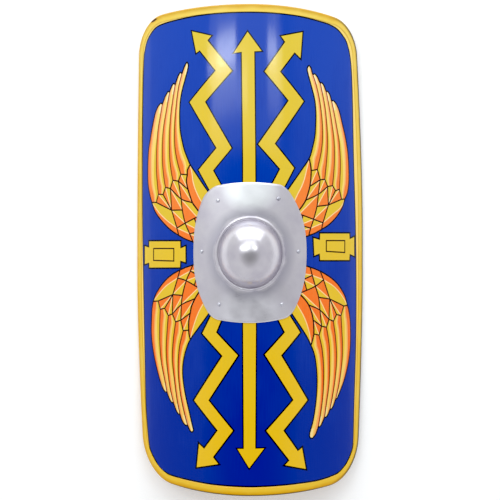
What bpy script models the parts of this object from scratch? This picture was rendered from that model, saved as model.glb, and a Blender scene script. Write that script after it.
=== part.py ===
"""Roman scutum: a tall curved shield, lying face up on its two long edges.

X runs across the shield, Y from its bottom to its top, and Z out of its painted face. Every piece is laid
out flat in two measures, s round the curve of the painted face and t up its height, and is then bent
round an axis along Y. A depth is measured from the painted face towards the back.
"""
import math

import bmesh
import bpy
from mathutils import Matrix, Vector

# Board, in metres
HEIGHT = 1.050              # bottom to top, over the edging
HALF_ARC = 0.290            # middle of the face to a long edge, round the curve
FACE_RADIUS = 0.320         # curve of the painted face
BOARD_THICKNESS = 0.009
SIDE_STRAIGHT = 0.060       # a long edge is straight this far above and below its middle
SIDE_POWER = 1.5            # how gradually it draws in from there to the corner

# The corners are cut by eye: each has a radius, a draw-in of its long edge and a droop of its end edge
CORNERS = (
    ("top right", 0.062, 0.0300, 0.037),
    ("top left", 0.074, 0.0090, 0.020),
    ("bottom left", 0.080, 0.0310, 0.043),
    ("bottom right", 0.082, 0.0235, 0.031),
)
QUADRANTS = ((1, 1), (-1, 1), (-1, -1), (1, -1))

# Edging folded round the board's edge
EDGING_WIDTH = 0.0192       # leg on the face and on the back, from the outline inwards
EDGING_WALL = 0.0012
EDGING_ROUND = 0.0045       # rounding of its outer corners
REST_FLAT = 0.003           # width of the flat that the shield lies on

# Boss: a curved plate with a dome over the hand
PLATE = 0.0015
FLANGE_HALF_ARC = 0.1242
FLANGE_HALF_HEIGHT = 0.1500
FLANGE_POWER = 2.4
FLANGE_CORNERS = (
    ("top right", 0.012, 0.0555, 0.018),
    ("top left", 0.022, 0.0410, 0.021),
    ("bottom left", 0.012, 0.0490, 0.021),
    ("bottom right", 0.012, 0.0465, 0.026),
)
BOSS_T = -0.0055            # the boss sits a little below the middle of the board
DOME_HALF_ARC = 0.0750
DOME_HALF_HEIGHT = 0.0803
DOME_HEIGHT = 0.058
BEAD_WIDTH = 0.0070         # raised ring round the foot of the dome
BEAD_HEIGHT = 0.0024

# Rivets: place on the plate as (s, inset from the plate's nearer end), drilled by eye
CORNER_RIVETS = (
    (0.0610, 1, 0.0350),
    (-0.0690, 1, 0.0390),
    (-0.0660, -1, 0.0390),
    (0.0680, -1, 0.0390),
)
SIDE_RIVET_INSET = 0.0187   # in from the plate's long edges
SIDE_RIVET_T = 0.0020       # above the middle of the plate
RIVET_HEAD_RADIUS = 0.0037
RIVET_HEAD_HEIGHT = 0.0022
RIVET_SHANK_RADIUS = 0.0020
RIVET_TAIL_RADIUS = 0.0032
RIVET_TAIL_HEIGHT = 0.0015

# Hand hole and grip
HAND_HOLE_MARGIN = 0.0125   # board left inside the foot of the dome
GRIP_PAD = 0.0170           # each way from the side rivet, round the curve
GRIP_PAD_THICKNESS = 0.010
GRIP_PAD_HALF_WIDTH = 0.0190
GRIP_HALF_WIDTH = 0.0135
GRIP_DEPTH = 0.024
GRIP_HOLD = 0.055           # half length of the straight hold
GRIP_EASE = 0.0065          # eased edges of the hold
GRIP_PAD_EASE = 0.0015      # and of the pads

GAP = 0.0003                # clearance between touching pieces
STRIP = math.radians(3)     # width of a flat strip of the bent pieces
ROUND_SEGMENTS = 12         # sides of a rivet
DOME_SEGMENTS = 30          # points round the foot of the dome
DOME_RINGS = 6
CORNER_STEPS = 9
SIDE_STEPS = 4

EDGING_PROUD = GAP + EDGING_WALL
EDGING_CURVE = min(EDGING_ROUND, BOARD_THICKNESS / 2 + EDGING_PROUD)
BOARD_INSET = EDGING_WALL + GAP
BOARD_CHAMFER = (2 - math.sqrt(2)) * (EDGING_CURVE - EDGING_WALL)
PLATE_TOP = GAP + PLATE
SIDE_RIVET_ARC = FLANGE_HALF_ARC - SIDE_RIVET_INSET


def rest_flat():
    """The two section points, as (inset, depth), between which the edging is level where it lies."""
    edge_angle = HALF_ARC / FACE_RADIUS
    down = math.pi / 2 - edge_angle
    half = math.asin(REST_FLAT / 2 / EDGING_CURVE)
    centre_depth = BOARD_THICKNESS + EDGING_PROUD - EDGING_CURVE
    ends = []
    for angle in (down - half, down + half):
        inset = EDGING_CURVE * (1 - math.cos(angle))
        ends.append([inset, centre_depth + EDGING_CURVE * math.sin(angle)])
    level = fall(HALF_ARC - ends[0][0], ends[0][1])
    ends[1][1] = FACE_RADIUS - level / math.cos((HALF_ARC - ends[1][0]) / FACE_RADIUS)
    return ends, (down - half, down + half), level


def fall(s, depth):
    """Height of a point above the axis that the shield is bent round."""
    return (FACE_RADIUS - depth) * math.cos(s / FACE_RADIUS)


REST_ENDS, REST_ANGLES, AXIS_DROP = rest_flat()


def bend(s, t, depth):
    """The place in space of a point of the flat layout."""
    x = (FACE_RADIUS - depth) * math.sin(s / FACE_RADIUS)
    return Vector((x, t, fall(s, depth) - AXIS_DROP))


def tilt(s, t, depth=0.0):
    """A frame at a point of the face, with its +Z straight out of the face."""
    return Matrix.Translation(bend(s, t, depth)) @ Matrix.Rotation(s / FACE_RADIUS, 4, "Y")


def quarter(half_s, half_t, straight, power, corner):
    """One quarter of an outline, from the long edge's middle round the corner to the end's middle."""
    _, radius, draw, droop = corner

    def side(t):
        share = max(0.0, (t - straight) / (half_t - straight))
        return Vector((half_s - draw * share ** power, t))

    def end(s):
        return Vector((s, half_t - droop * (s / half_s) ** 2))

    tip = Vector((half_s, half_t))
    for _ in range(30):
        tip = Vector((side(tip.y).x, end(tip.x).y))
    start = side(tip.y - radius)
    finish = end(tip.x - radius)
    points = []
    for step in range(SIDE_STEPS):
        points.append(side(straight + (start.y - straight) * step / SIDE_STEPS))
    lean = 0.5523
    handle_a = start.lerp(tip, lean)
    handle_b = finish.lerp(tip, lean)
    for step in range(CORNER_STEPS + 1):
        u = step / CORNER_STEPS
        v = 1 - u
        points.append(start * v ** 3 + handle_a * 3 * u * v * v + handle_b * 3 * u * u * v + finish * u ** 3)
    strip = FACE_RADIUS * STRIP
    for step in range(math.ceil(finish.x / strip) - 1, -1, -1):
        points.append(end(step * strip))
    return points


def outline(half_s, half_t, straight, power, corners):
    """The whole outline in the flat layout, counter-clockwise seen from the face."""
    loop = []
    for (across, up), corner in zip(QUADRANTS, corners):
        points = quarter(half_s, half_t, straight, power, corner)
        points = [Vector((across * point.x, up * point.y)) for point in points]
        if across * up < 0:
            points.reverse()
        for point in points:
            if not loop or (point - loop[-1]).length > GAP:
                loop.append(point)
    if (loop[0] - loop[-1]).length < GAP:
        loop.pop()
    return loop


def moved_in(loop, inset):
    """The outline moved inwards by an inset, point for point."""
    inner = []
    for index, point in enumerate(loop):
        along = (loop[(index + 1) % len(loop)] - loop[index - 1]).normalized()
        inner.append(point + Vector((-along.y, along.x)) * inset)
    return inner


def shield_outline():
    return outline(HALF_ARC, HEIGHT / 2, SIDE_STRAIGHT, SIDE_POWER, CORNERS)


def flange_outline():
    loop = outline(FLANGE_HALF_ARC, FLANGE_HALF_HEIGHT, 0.0, FLANGE_POWER, FLANGE_CORNERS)
    return [point + Vector((0, BOSS_T)) for point in loop]


def cut_in_strips(bm):
    """Cuts a flat layout along every line that the bending folds it on."""
    reach = max(abs(vert.co.x) for vert in bm.verts)
    strip = FACE_RADIUS * STRIP
    count = int(reach / strip)
    for index in range(-count, count + 1):
        bmesh.ops.bisect_plane(
            bm, geom=bm.verts[:] + bm.edges[:] + bm.faces[:], dist=GAP / 10,
            plane_co=(index * strip, 0, 0), plane_no=(1, 0, 0))


def join_rings(bm, rings):
    """Quads between each ring of vertices and the next, and from the last ring back to the first."""
    for ring, following in zip(rings, rings[1:] + rings[:1]):
        for index in range(len(ring)):
            after = (index + 1) % len(ring)
            bm.faces.new((ring[index], ring[after], following[after], following[index]))


def finished(name, bm, surface):
    """Turns a bmesh into a smooth-shaded object with its own material."""
    bmesh.ops.recalc_face_normals(bm, faces=bm.faces[:])
    mesh = bpy.data.meshes.new(name)
    bm.to_mesh(mesh)
    bm.free()
    mesh.shade_smooth()
    mesh.set_sharp_from_angle(angle=math.radians(30))
    mesh.materials.append(surface)
    piece = bpy.data.objects.new(name, mesh)
    bpy.context.scene.collection.objects.link(piece)
    return piece


def surface(name, colour, roughness, metallic=0.0):
    material = bpy.data.materials.new(name)
    material.use_nodes = True
    shader = material.node_tree.nodes["Principled BSDF"]
    shader.inputs["Base Color"].default_value = (*colour, 1)
    shader.inputs["Roughness"].default_value = roughness
    shader.inputs["Metallic"].default_value = metallic
    material.diffuse_color = (*colour, 1)
    return material


def cut(piece, cutter):
    modifier = piece.modifiers.new("cut by " + cutter.name, "BOOLEAN")
    modifier.operation = "DIFFERENCE"
    modifier.solver = "EXACT"
    modifier.object = cutter


def as_cutter(piece):
    piece.hide_render = True
    piece.display_type = "WIRE"
    return piece


def rivet_places():
    """The six rivets as (s, t, is a side rivet), from the top right round to the two at the sides."""
    places = []
    for s, end, inset in CORNER_RIVETS:
        places.append((s, BOSS_T + end * (FLANGE_HALF_HEIGHT - inset), False))
    for side in (-1, 1):
        places.append((side * SIDE_RIVET_ARC, BOSS_T + SIDE_RIVET_T, True))
    return places


def make_board():
    """The plywood panel: two faces and a chamfered edge laid out flat, cut in strips and bent."""
    loop = shield_outline()
    section = (
        (BOARD_INSET + BOARD_CHAMFER, 0.0),
        (BOARD_INSET, BOARD_CHAMFER),
        (BOARD_INSET, BOARD_THICKNESS - BOARD_CHAMFER),
        (BOARD_INSET + BOARD_CHAMFER, BOARD_THICKNESS),
    )
    bm = bmesh.new()
    rings = []
    for inset, depth in section:
        rings.append([bm.verts.new((p.x, p.y, -depth)) for p in moved_in(loop, inset)])
    join_rings(bm, rings)
    for index in range(len(loop)):
        after = (index + 1) % len(loop)
        bm.faces.remove(bm.faces.get((rings[3][index], rings[3][after], rings[0][after], rings[0][index])))
    bm.faces.new(rings[0])
    bm.faces.new(rings[3])
    cut_in_strips(bm)
    bmesh.ops.triangulate(bm, faces=bm.faces[:])
    for vert in bm.verts:
        vert.co = bend(vert.co.x, vert.co.y, -vert.co.z)
    return finished("board", bm, surface("painted plywood", (0.03, 0.085, 0.5), 0.45))


def edging_section():
    """The folded edging's section as (inset from the outline, depth), round its wall."""
    front = -EDGING_PROUD
    back = BOARD_THICKNESS + EDGING_PROUD
    section = [(EDGING_WIDTH, -GAP), (EDGING_WIDTH, front)]
    for angle in (math.radians(a) for a in (90, 60, 30, 0)):
        section.append((EDGING_CURVE * (1 - math.cos(angle)), front + EDGING_CURVE * (1 - math.sin(angle))))
    if REST_ANGLES[0] > 0:
        section.append((0.0, back - EDGING_CURVE))
    section += [tuple(end) for end in REST_ENDS]
    last = max(angle for angle in REST_ANGLES)
    for angle in ((last + math.pi / 2) / 2, math.pi / 2):
        section.append((EDGING_CURVE * (1 - math.cos(angle)), back - EDGING_CURVE * (1 - math.sin(angle))))
    section += [(EDGING_WIDTH, back), (EDGING_WIDTH, BOARD_THICKNESS + GAP)]
    section += [
        (EDGING_WALL + BOARD_CHAMFER, BOARD_THICKNESS + GAP),
        (EDGING_WALL, BOARD_THICKNESS + GAP - BOARD_CHAMFER),
        (EDGING_WALL, BOARD_CHAMFER - GAP),
        (EDGING_WALL + BOARD_CHAMFER, -GAP),
    ]
    return section


def make_edging():
    """The edging: its section carried round the outline."""
    loop = shield_outline()
    bm = bmesh.new()
    lines = []
    for inset, depth in edging_section():
        lines.append([bm.verts.new(bend(p.x, p.y, depth)) for p in moved_in(loop, inset)])
    join_rings(bm, lines)
    bmesh.ops.triangulate(bm, faces=bm.faces[:])
    return finished("rim_edging", bm, surface("painted rawhide", (0.78, 0.5, 0.06), 0.45))


def dome_profile(inner):
    """The boss from the foot of the dome to near its crown, as (share of the foot's size, height)."""
    foot = DOME_HALF_ARC
    bead_in = 1 - BEAD_WIDTH / foot
    wall = PLATE / foot if inner else 0.0
    crown = DOME_HEIGHT - PLATE if inner else DOME_HEIGHT
    low = 0.0 if inner else BEAD_HEIGHT / 3
    profile = []
    if not inner:
        for angle in (math.radians(a) for a in (0, 45, 90, 135)):
            share = 1 - BEAD_WIDTH / foot * (1 - math.cos(angle)) / 2
            profile.append((share, BEAD_HEIGHT * math.sin(angle)))
    for step in range(DOME_RINGS):
        angle = math.pi / 2 * step / DOME_RINGS
        share = (bead_in - wall) * math.cos(angle)
        profile.append((share, low + (crown - low) * math.sin(angle)))
    return profile, crown


def boss_sheet(bm, depth, inner):
    """One side of the boss: the flat flange, bent, with the dome raised inside it."""
    profile, crown = dome_profile(inner)
    foot = profile[0][0]
    sheet = bmesh.new()
    rim = [sheet.verts.new((p.x, p.y, 0)) for p in flange_outline()]
    ring = []
    for index in range(DOME_SEGMENTS):
        angle = 2 * math.pi * index / DOME_SEGMENTS
        s = foot * DOME_HALF_ARC * math.cos(angle)
        ring.append(sheet.verts.new((s, BOSS_T + foot * DOME_HALF_HEIGHT * math.sin(angle), 0)))
    for loop in (rim, ring):
        for index in range(len(loop)):
            sheet.edges.new((loop[index - 1], loop[index]))
    bmesh.ops.triangle_fill(sheet, use_beauty=True, edges=sheet.edges[:])
    cut_in_strips(sheet)
    bmesh.ops.triangulate(sheet, faces=sheet.faces[:])
    heights = raise_dome(sheet, profile, crown)
    for vert in sheet.verts:
        lift = Vector((0, 0, heights.get(vert, 0.0)))
        vert.co = bend(vert.co.x, vert.co.y, depth) + lift
    copy_into(bm, sheet)


def raise_dome(sheet, profile, crown):
    """Rings inwards from the foot of the dome, closed at the crown; gives each vertex's height."""
    heights = {}
    reach = profile[0][0] + 0.002
    edges = []
    for edge in sheet.edges:
        if edge.is_boundary and all(foot_share(vert.co) < reach for vert in edge.verts):
            edges.append(edge)
    share = profile[0][0]
    for next_share, height in profile[1:]:
        made = bmesh.ops.extrude_edge_only(sheet, edges=edges)["geom"]
        for vert in (item for item in made if isinstance(item, bmesh.types.BMVert)):
            vert.co.x *= next_share / share
            vert.co.y = BOSS_T + (vert.co.y - BOSS_T) * next_share / share
            heights[vert] = height
        edges = [item for item in made if isinstance(item, bmesh.types.BMEdge)]
        edges = [edge for edge in edges if edge.is_boundary]
        share = next_share
    top = sheet.verts.new((0, BOSS_T, 0))
    heights[top] = crown
    for edge in edges:
        sheet.faces.new((*edge.verts, top))
    return heights


def foot_share(place):
    """How far out a flat point is, as a share of the dome's foot."""
    return math.hypot(place.x / DOME_HALF_ARC, (place.y - BOSS_T) / DOME_HALF_HEIGHT)


def copy_into(bm, other):
    mesh = bpy.data.meshes.new("sheet")
    other.to_mesh(mesh)
    other.free()
    bm.from_mesh(mesh)
    bpy.data.meshes.remove(mesh)


def make_boss(rivet_cutter):
    """The boss: an outer and an inner sheet joined round the edge of the plate."""
    bm = bmesh.new()
    boss_sheet(bm, -PLATE_TOP, inner=False)
    boss_sheet(bm, -GAP, inner=True)
    bmesh.ops.bridge_loops(bm, edges=[edge for edge in bm.edges if edge.is_boundary])
    bmesh.ops.triangulate(bm, faces=bm.faces[:])
    boss = finished("boss", bm, surface("brushed steel", (0.6, 0.6, 0.63), 0.3, 1.0))
    cut(boss, rivet_cutter)
    return boss


def turned(name, profile, place, coating):
    """A piece turned from a profile of (radius, height), set at a place."""
    bm = bmesh.new()
    verts = [bm.verts.new((radius, 0, height)) for radius, height in profile]
    edges = [bm.edges.new(pair) for pair in zip(verts, verts[1:])]
    bmesh.ops.spin(
        bm, geom=verts + edges, cent=(0, 0, 0), axis=(0, 0, 1), angle=2 * math.pi, steps=ROUND_SEGMENTS)
    bmesh.ops.remove_doubles(bm, verts=bm.verts[:], dist=GAP / 30)
    bmesh.ops.transform(bm, matrix=place, verts=bm.verts[:])
    return finished(name, bm, coating)


def dome_of(radius, height, level, sign):
    """Profile points of a rounded end, from its crown to its edge."""
    points = []
    for angle in (math.radians(a) for a in (0, 30, 60, 90)):
        points.append((radius * math.sin(angle), level + sign * height * math.cos(angle)))
    return points


def make_rivets():
    """Six rivets through the plate and the board, and at the sides through the grip as well."""
    coating = surface("steel rivet", (0.55, 0.55, 0.58), 0.35, 1.0)
    head = PLATE_TOP + GAP
    for number, (s, t, side) in enumerate(rivet_places(), 1):
        tail = -BOARD_THICKNESS - GAP
        if side:
            tail -= GRIP_PAD_THICKNESS + GAP
        profile = dome_of(RIVET_HEAD_RADIUS, RIVET_HEAD_HEIGHT, head, 1)
        profile += [(RIVET_SHANK_RADIUS, head), (RIVET_SHANK_RADIUS, tail)]
        profile += reversed(dome_of(RIVET_TAIL_RADIUS, RIVET_TAIL_HEIGHT, tail, -1))
        turned(f"boss_rivet_{number}", profile, tilt(s, t), coating)


def rivet_hole_cutter():
    """Six straight rods, one on each rivet's axis, for the holes in all the pieces."""
    bm = bmesh.new()
    deep = BOARD_THICKNESS + GRIP_PAD_THICKNESS + GRIP_DEPTH
    for s, t, _ in rivet_places():
        bmesh.ops.create_cone(
            bm, cap_ends=True, segments=ROUND_SEGMENTS, radius1=RIVET_SHANK_RADIUS + GAP,
            radius2=RIVET_SHANK_RADIUS + GAP, depth=2 * deep, matrix=tilt(s, t))
    return as_cutter(finished("rivet holes", bm, surface("cutter", (0.5, 0.5, 0.5), 0.5)))


def hand_hole_cutter():
    """An oval plug through the board, a margin smaller than the foot of the dome."""
    bm = bmesh.new()
    bmesh.ops.create_cone(
        bm, cap_ends=True, segments=DOME_SEGMENTS, radius1=1, radius2=1, depth=4 * BOARD_THICKNESS)
    across = DOME_HALF_ARC - HAND_HOLE_MARGIN
    up = DOME_HALF_HEIGHT - HAND_HOLE_MARGIN
    sink = FACE_RADIUS - fall(across, 0)
    bmesh.ops.scale(bm, vec=(across, up, 1 + sink / BOARD_THICKNESS), verts=bm.verts[:])
    bmesh.ops.translate(bm, vec=bend(0, BOSS_T, BOARD_THICKNESS / 2), verts=bm.verts[:])
    return as_cutter(finished("hand hole", bm, surface("cutter", (0.5, 0.5, 0.5), 0.5)))


def ease_in(share):
    share = min(1.0, max(0.0, share))
    return share * share * (3 - 2 * share)


def grip_stations():
    """The grip's sections as (top, bottom, half width, eased edge), from its middle to one end.

    Top and bottom are the (x, z) of the section's two levels.
    """
    seat = BOARD_THICKNESS + GAP
    pad_in = SIDE_RIVET_ARC - GRIP_PAD
    level = bend(pad_in, 0, seat).z
    hold_bottom = level - GRIP_DEPTH
    foot = bend(pad_in, 0, seat + GRIP_PAD_THICKNESS)
    stations = []
    for share in (0.0, 0.5, 1.0):
        x = GRIP_HOLD * share
        stations.append(((x, level), (x, hold_bottom), GRIP_HALF_WIDTH, GRIP_EASE))
    for share in (0.25, 0.5, 0.75):
        blend = ease_in(share)
        x = GRIP_HOLD + (foot.x - GRIP_HOLD) * share
        bottom = hold_bottom + (foot.z - hold_bottom) * blend
        half = GRIP_HALF_WIDTH + (GRIP_PAD_HALF_WIDTH - GRIP_HALF_WIDTH) * blend
        ease = GRIP_EASE + (GRIP_PAD_EASE - GRIP_EASE) * blend
        stations.append(((x, level), (x, bottom), half, ease))
    for share in (-1.0, -0.5, 0.0, 0.5, 1.0):
        s = SIDE_RIVET_ARC + GRIP_PAD * share
        top = bend(s, 0, seat)
        bottom = bend(s, 0, seat + GRIP_PAD_THICKNESS)
        stations.append(((top.x, top.z), (bottom.x, bottom.z), GRIP_PAD_HALF_WIDTH, GRIP_PAD_EASE))
    return stations


def grip_ring(bm, station, side):
    """One section of the grip: an eased rectangle, which leans with the board on the pads."""
    top, bottom, half, ease = station
    corners = (
        (half - ease, top[1]), (half, top[1] - ease), (half, bottom[1] + ease), (half - ease, bottom[1]),
        (ease - half, bottom[1]), (-half, bottom[1] + ease), (-half, top[1] - ease), (ease - half, top[1]),
    )
    ring = []
    for y, z in corners:
        lean = (top[1] - z) / (top[1] - bottom[1])
        x = top[0] + (bottom[0] - top[0]) * lean
        ring.append(bm.verts.new((side * x, BOSS_T + SIDE_RIVET_T + y, z)))
    return ring


def make_handgrip(rivet_cutter):
    """The horizontal grip: a straight hold whose ends seat on the hollow back of the board."""
    stations = grip_stations()
    bm = bmesh.new()
    rings = [grip_ring(bm, station, -1) for station in reversed(stations)]
    rings += [grip_ring(bm, station, 1) for station in stations[1:]]
    for ring, following in zip(rings, rings[1:]):
        for index in range(len(ring)):
            after = (index + 1) % len(ring)
            bm.faces.new((ring[index], ring[after], following[after], following[index]))
    bm.faces.new(rings[0])
    bm.faces.new(rings[-1])
    bmesh.ops.triangulate(bm, faces=bm.faces[:])
    grip = finished("handgrip", bm, surface("oiled ash", (0.42, 0.25, 0.12), 0.5))
    cut(grip, rivet_cutter)


def build():
    for old in list(bpy.data.objects):
        bpy.data.objects.remove(old, do_unlink=True)
    rivet_cutter = rivet_hole_cutter()
    board = make_board()
    cut(board, hand_hole_cutter())
    cut(board, rivet_cutter)
    make_edging()
    make_boss(rivet_cutter)
    make_rivets()
    make_handgrip(rivet_cutter)


build()
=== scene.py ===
# %% [markdown]
# A tall curved shield of painted plywood, lying face up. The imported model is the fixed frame: it gives
# the real place and size of every piece. Each cell below dresses one piece of it: the painted board, the
# folded edging, the steel boss, its rivets and the wooden grip behind it.

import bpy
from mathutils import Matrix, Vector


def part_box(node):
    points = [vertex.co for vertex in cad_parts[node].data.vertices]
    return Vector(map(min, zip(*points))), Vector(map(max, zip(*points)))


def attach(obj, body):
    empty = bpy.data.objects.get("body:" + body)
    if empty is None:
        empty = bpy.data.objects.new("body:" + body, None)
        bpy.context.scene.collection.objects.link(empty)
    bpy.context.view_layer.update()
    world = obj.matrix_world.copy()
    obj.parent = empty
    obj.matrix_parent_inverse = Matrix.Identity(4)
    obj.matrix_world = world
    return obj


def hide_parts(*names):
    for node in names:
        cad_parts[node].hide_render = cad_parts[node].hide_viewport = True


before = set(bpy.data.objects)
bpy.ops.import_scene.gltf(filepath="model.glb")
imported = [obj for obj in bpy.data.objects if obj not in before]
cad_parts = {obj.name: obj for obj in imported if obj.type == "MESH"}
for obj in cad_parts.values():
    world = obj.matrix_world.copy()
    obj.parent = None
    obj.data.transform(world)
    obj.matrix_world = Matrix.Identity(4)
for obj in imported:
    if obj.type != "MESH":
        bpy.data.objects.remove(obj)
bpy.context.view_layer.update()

# %% Modules
import math

import bmesh
import bpy
from mathutils import Matrix, Vector, geometry

# %% [markdown]
# The board is a sheet bent round an axis that runs along its height, so every piece is drawn flat first,
# in two measures: s, round the curve of the painted face, and t, up its height. A depth goes from the
# painted face towards the back. The curve has one radius; where its axis lies follows from the top of the
# board's box.

# %% Sizes of the board
FACE_RADIUS = 0.320
BOARD_THICKNESS = 0.009
HALF_ARC = 0.290
SIDE_STRAIGHT = 0.060
SIDE_POWER = 1.5
board_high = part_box("board")[1]
edging_low, edging_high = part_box("rim_edging")
HEIGHT = edging_high.y - edging_low.y
AXIS_DROP = FACE_RADIUS - board_high.z
print("height", round(HEIGHT, 4), "axis below the frame's origin", round(AXIS_DROP, 4))


def bend(s, t, depth=0.0):
    """The place in space of a point of the flat layout."""
    reach = FACE_RADIUS - depth
    angle = s / FACE_RADIUS
    return Vector((reach * math.sin(angle), t, reach * math.cos(angle) - AXIS_DROP))


def out_of_face(s):
    """The direction straight out of the painted face."""
    return Vector((math.sin(s / FACE_RADIUS), 0.0, math.cos(s / FACE_RADIUS)))


# %% [markdown]
# The outline is not a plain rectangle with round corners. Each corner was cut by eye, so each has its own
# radius, its own draw-in of the long edge and its own droop of the end edge.

# %% The outline
BOARD_CORNERS = (           # radius, draw-in and droop, in the order of the quadrants
    (0.062, 0.0300, 0.037),
    (0.074, 0.0090, 0.020),
    (0.080, 0.0310, 0.043),
    (0.082, 0.0235, 0.031),
)
QUADRANTS = ((1, 1), (-1, 1), (-1, -1), (1, -1))
CORNER_LEAN = 0.5523        # handle length that makes a curve nearly a quarter circle
QUARTER_LENGTH = 1.6        # about the length of a rounded corner, in radii
TIP_ROUNDS = 30             # enough for the crossing of two edges to settle
OUTLINE_STEP = 0.004


def quarter(half_s, half_t, straight, power, corner):
    """One quarter of an outline, from the long edge's middle round the corner to the end's middle."""
    radius, draw, droop = corner

    def side(t):
        share = max(0.0, (t - straight) / (half_t - straight))
        return Vector((half_s - draw * share ** power, t))

    def end(s):
        return Vector((s, half_t - droop * (s / half_s) ** 2))

    tip = Vector((half_s, half_t))
    for _ in range(TIP_ROUNDS):
        tip = Vector((side(tip.y).x, end(tip.x).y))
    start = side(tip.y - radius)
    finish = end(tip.x - radius)
    handle_a = start.lerp(tip, CORNER_LEAN)
    handle_b = finish.lerp(tip, CORNER_LEAN)
    side_count = max(2, round(start.y / OUTLINE_STEP))
    corner_count = max(6, round(QUARTER_LENGTH * radius / OUTLINE_STEP))
    end_count = max(2, round(finish.x / OUTLINE_STEP))
    points = [side(start.y * step / side_count) for step in range(side_count)]
    for step in range(corner_count):
        u = step / corner_count
        v = 1 - u
        handles = handle_a * 3 * u * v * v + handle_b * 3 * u * u * v
        points.append(start * v ** 3 + handles + finish * u ** 3)
    points += [end(finish.x * (1 - step / end_count)) for step in range(end_count + 1)]
    return points


def outline(half_s, half_t, straight, power, corners):
    """The whole outline in the flat layout, counter-clockwise seen from the face."""
    loop = []
    for (across, up), corner in zip(QUADRANTS, corners):
        first = quarter(half_s, half_t, straight, power, corner)
        points = [Vector((across * p.x, up * p.y)) for p in first]
        if across * up < 0:
            points.reverse()
        loop += points[:-1]
    return loop


def moved_in(loop, inset):
    """The outline moved inwards by an inset, point for point."""
    inner = []
    for index, point in enumerate(loop):
        along = (loop[(index + 1) % len(loop)] - loop[index - 1]).normalized()
        inner.append(point + Vector((-along.y, along.x)) * inset)
    return inner


shield_loop = outline(HALF_ARC, HEIGHT / 2, SIDE_STRAIGHT, SIDE_POWER, BOARD_CORNERS)
print("outline has", len(shield_loop), "points")

# %% [markdown]
# The camera stands where the photograph was taken from: straight above the shield's middle, since the
# shield lies on its back edges, and far enough away that the long edges turn out of sight as they do in
# the picture. The painted shapes were read off the picture, so the same camera turns a pixel back into a
# place on the face.

# %% Camera
IMAGE_SIZE = 500
IMAGE_CENTRE = (250.0, 250.0)
CAMERA_DISTANCE = 2.6       # above the top of the painted face
FOCAL_PIXELS = 1219.8
SENSOR_MM = 36.0


def put_in_scene(name, data):
    """A new object of this data, in the scene."""
    made = bpy.data.objects.new(name, data)
    bpy.context.scene.collection.objects.link(made)
    return made


camera_data = bpy.data.cameras.new("camera above")
camera_data.sensor_width = SENSOR_MM
camera_data.lens = FOCAL_PIXELS * SENSOR_MM / IMAGE_SIZE
camera = put_in_scene("camera above", camera_data)
camera.location = (0, 0, board_high.z + CAMERA_DISTANCE)
bpy.context.scene.camera = camera
print("lens", round(camera_data.lens, 2), "mm")


def on_face(pixel):
    """The flat place (s, t) that a pixel of the picture shows on the curved face."""
    across = (pixel[0] - IMAGE_CENTRE[0]) / FOCAL_PIXELS
    up = (IMAGE_CENTRE[1] - pixel[1]) / FOCAL_PIXELS
    far = camera.location.z + AXIS_DROP
    under_root = FACE_RADIUS ** 2 * (1 + across ** 2) - (across * far) ** 2
    x = across * (far - math.sqrt(max(0.0, under_root))) / (1 + across ** 2)
    s = FACE_RADIUS * math.asin(max(-1.0, min(1.0, x / FACE_RADIUS)))
    return Vector((s, up * (camera.location.z - bend(s, 0).z)))


def pictured(pixels):
    """The flat places of a run of pixels."""
    return [on_face(pixel) for pixel in pixels]


# %% [markdown]
# Paint is laid in order, as a painter works: the blue ground, then each figure's ink outline, then its
# fill inside that. Nothing painted is raised, so all the shapes become one flat arrangement: a single
# sheet of faces in which each face takes the paint that was laid on it last.

# %% Paints and the list of painted shapes
PAINTS = ("blue", "yellow", "orange", "apricot", "straw", "cream", "ink", "umber", "sienna")
painted = []
MM = 0.001


def counter_clockwise(points):
    """The same polygon, run counter-clockwise."""
    area = sum(a.x * b.y - b.x * a.y for a, b in zip(points, points[1:] + points[:1]))
    return points[::-1] if area < 0 else points


def lay(paint, points):
    """Lays one paint over a polygon of flat places."""
    painted.append((paint, counter_clockwise(points)))


print("paints to lay:", ", ".join(PAINTS))

# %% Curves and brush lines
CURVE_STEP = 0.005
CORNER_REACH = 0.45         # a pointed corner stands out by at most the width over this
BEND_REACH = 0.5            # and so does a bend in a brush line


def smooth(points, step=CURVE_STEP, closed=False):
    """A curve through given points, as a close run of places."""
    count = len(points)
    run = []
    for index in range(count if closed else count - 1):
        if closed:
            p0, p1, p2, p3 = (points[(index + k) % count] for k in (-1, 0, 1, 2))
        else:
            p1, p2 = points[index], points[index + 1]
            p0 = points[index - 1] if index else p1 * 2 - p2
            p3 = points[index + 2] if index + 2 < count else p2 * 2 - p1
        pieces = max(1, round((p2 - p1).length / step))
        for k in range(pieces):
            u = k / pieces
            run.append(0.5 * (2 * p1 + (p2 - p0) * u + (2 * p0 - 5 * p1 + 4 * p2 - p3) * u ** 2
                              + (3 * p1 - p0 - 3 * p2 + p3) * u ** 3))
    if not closed:
        run.append(points[-1].copy())
    return run


def grown(loop, width):
    """A closed outline moved outwards by a width, with pointed corners."""
    loop = counter_clockwise(loop)
    wide = []
    for index, point in enumerate(loop):
        before = (point - loop[index - 1]).normalized()
        after = (loop[(index + 1) % len(loop)] - point).normalized()
        middle = Vector((before.y + after.y, -before.x - after.x)).normalized()
        stretch = max(CORNER_REACH, middle.dot(Vector((before.y, -before.x))))
        wide.append(point + middle * (width / stretch))
    return wide


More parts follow.
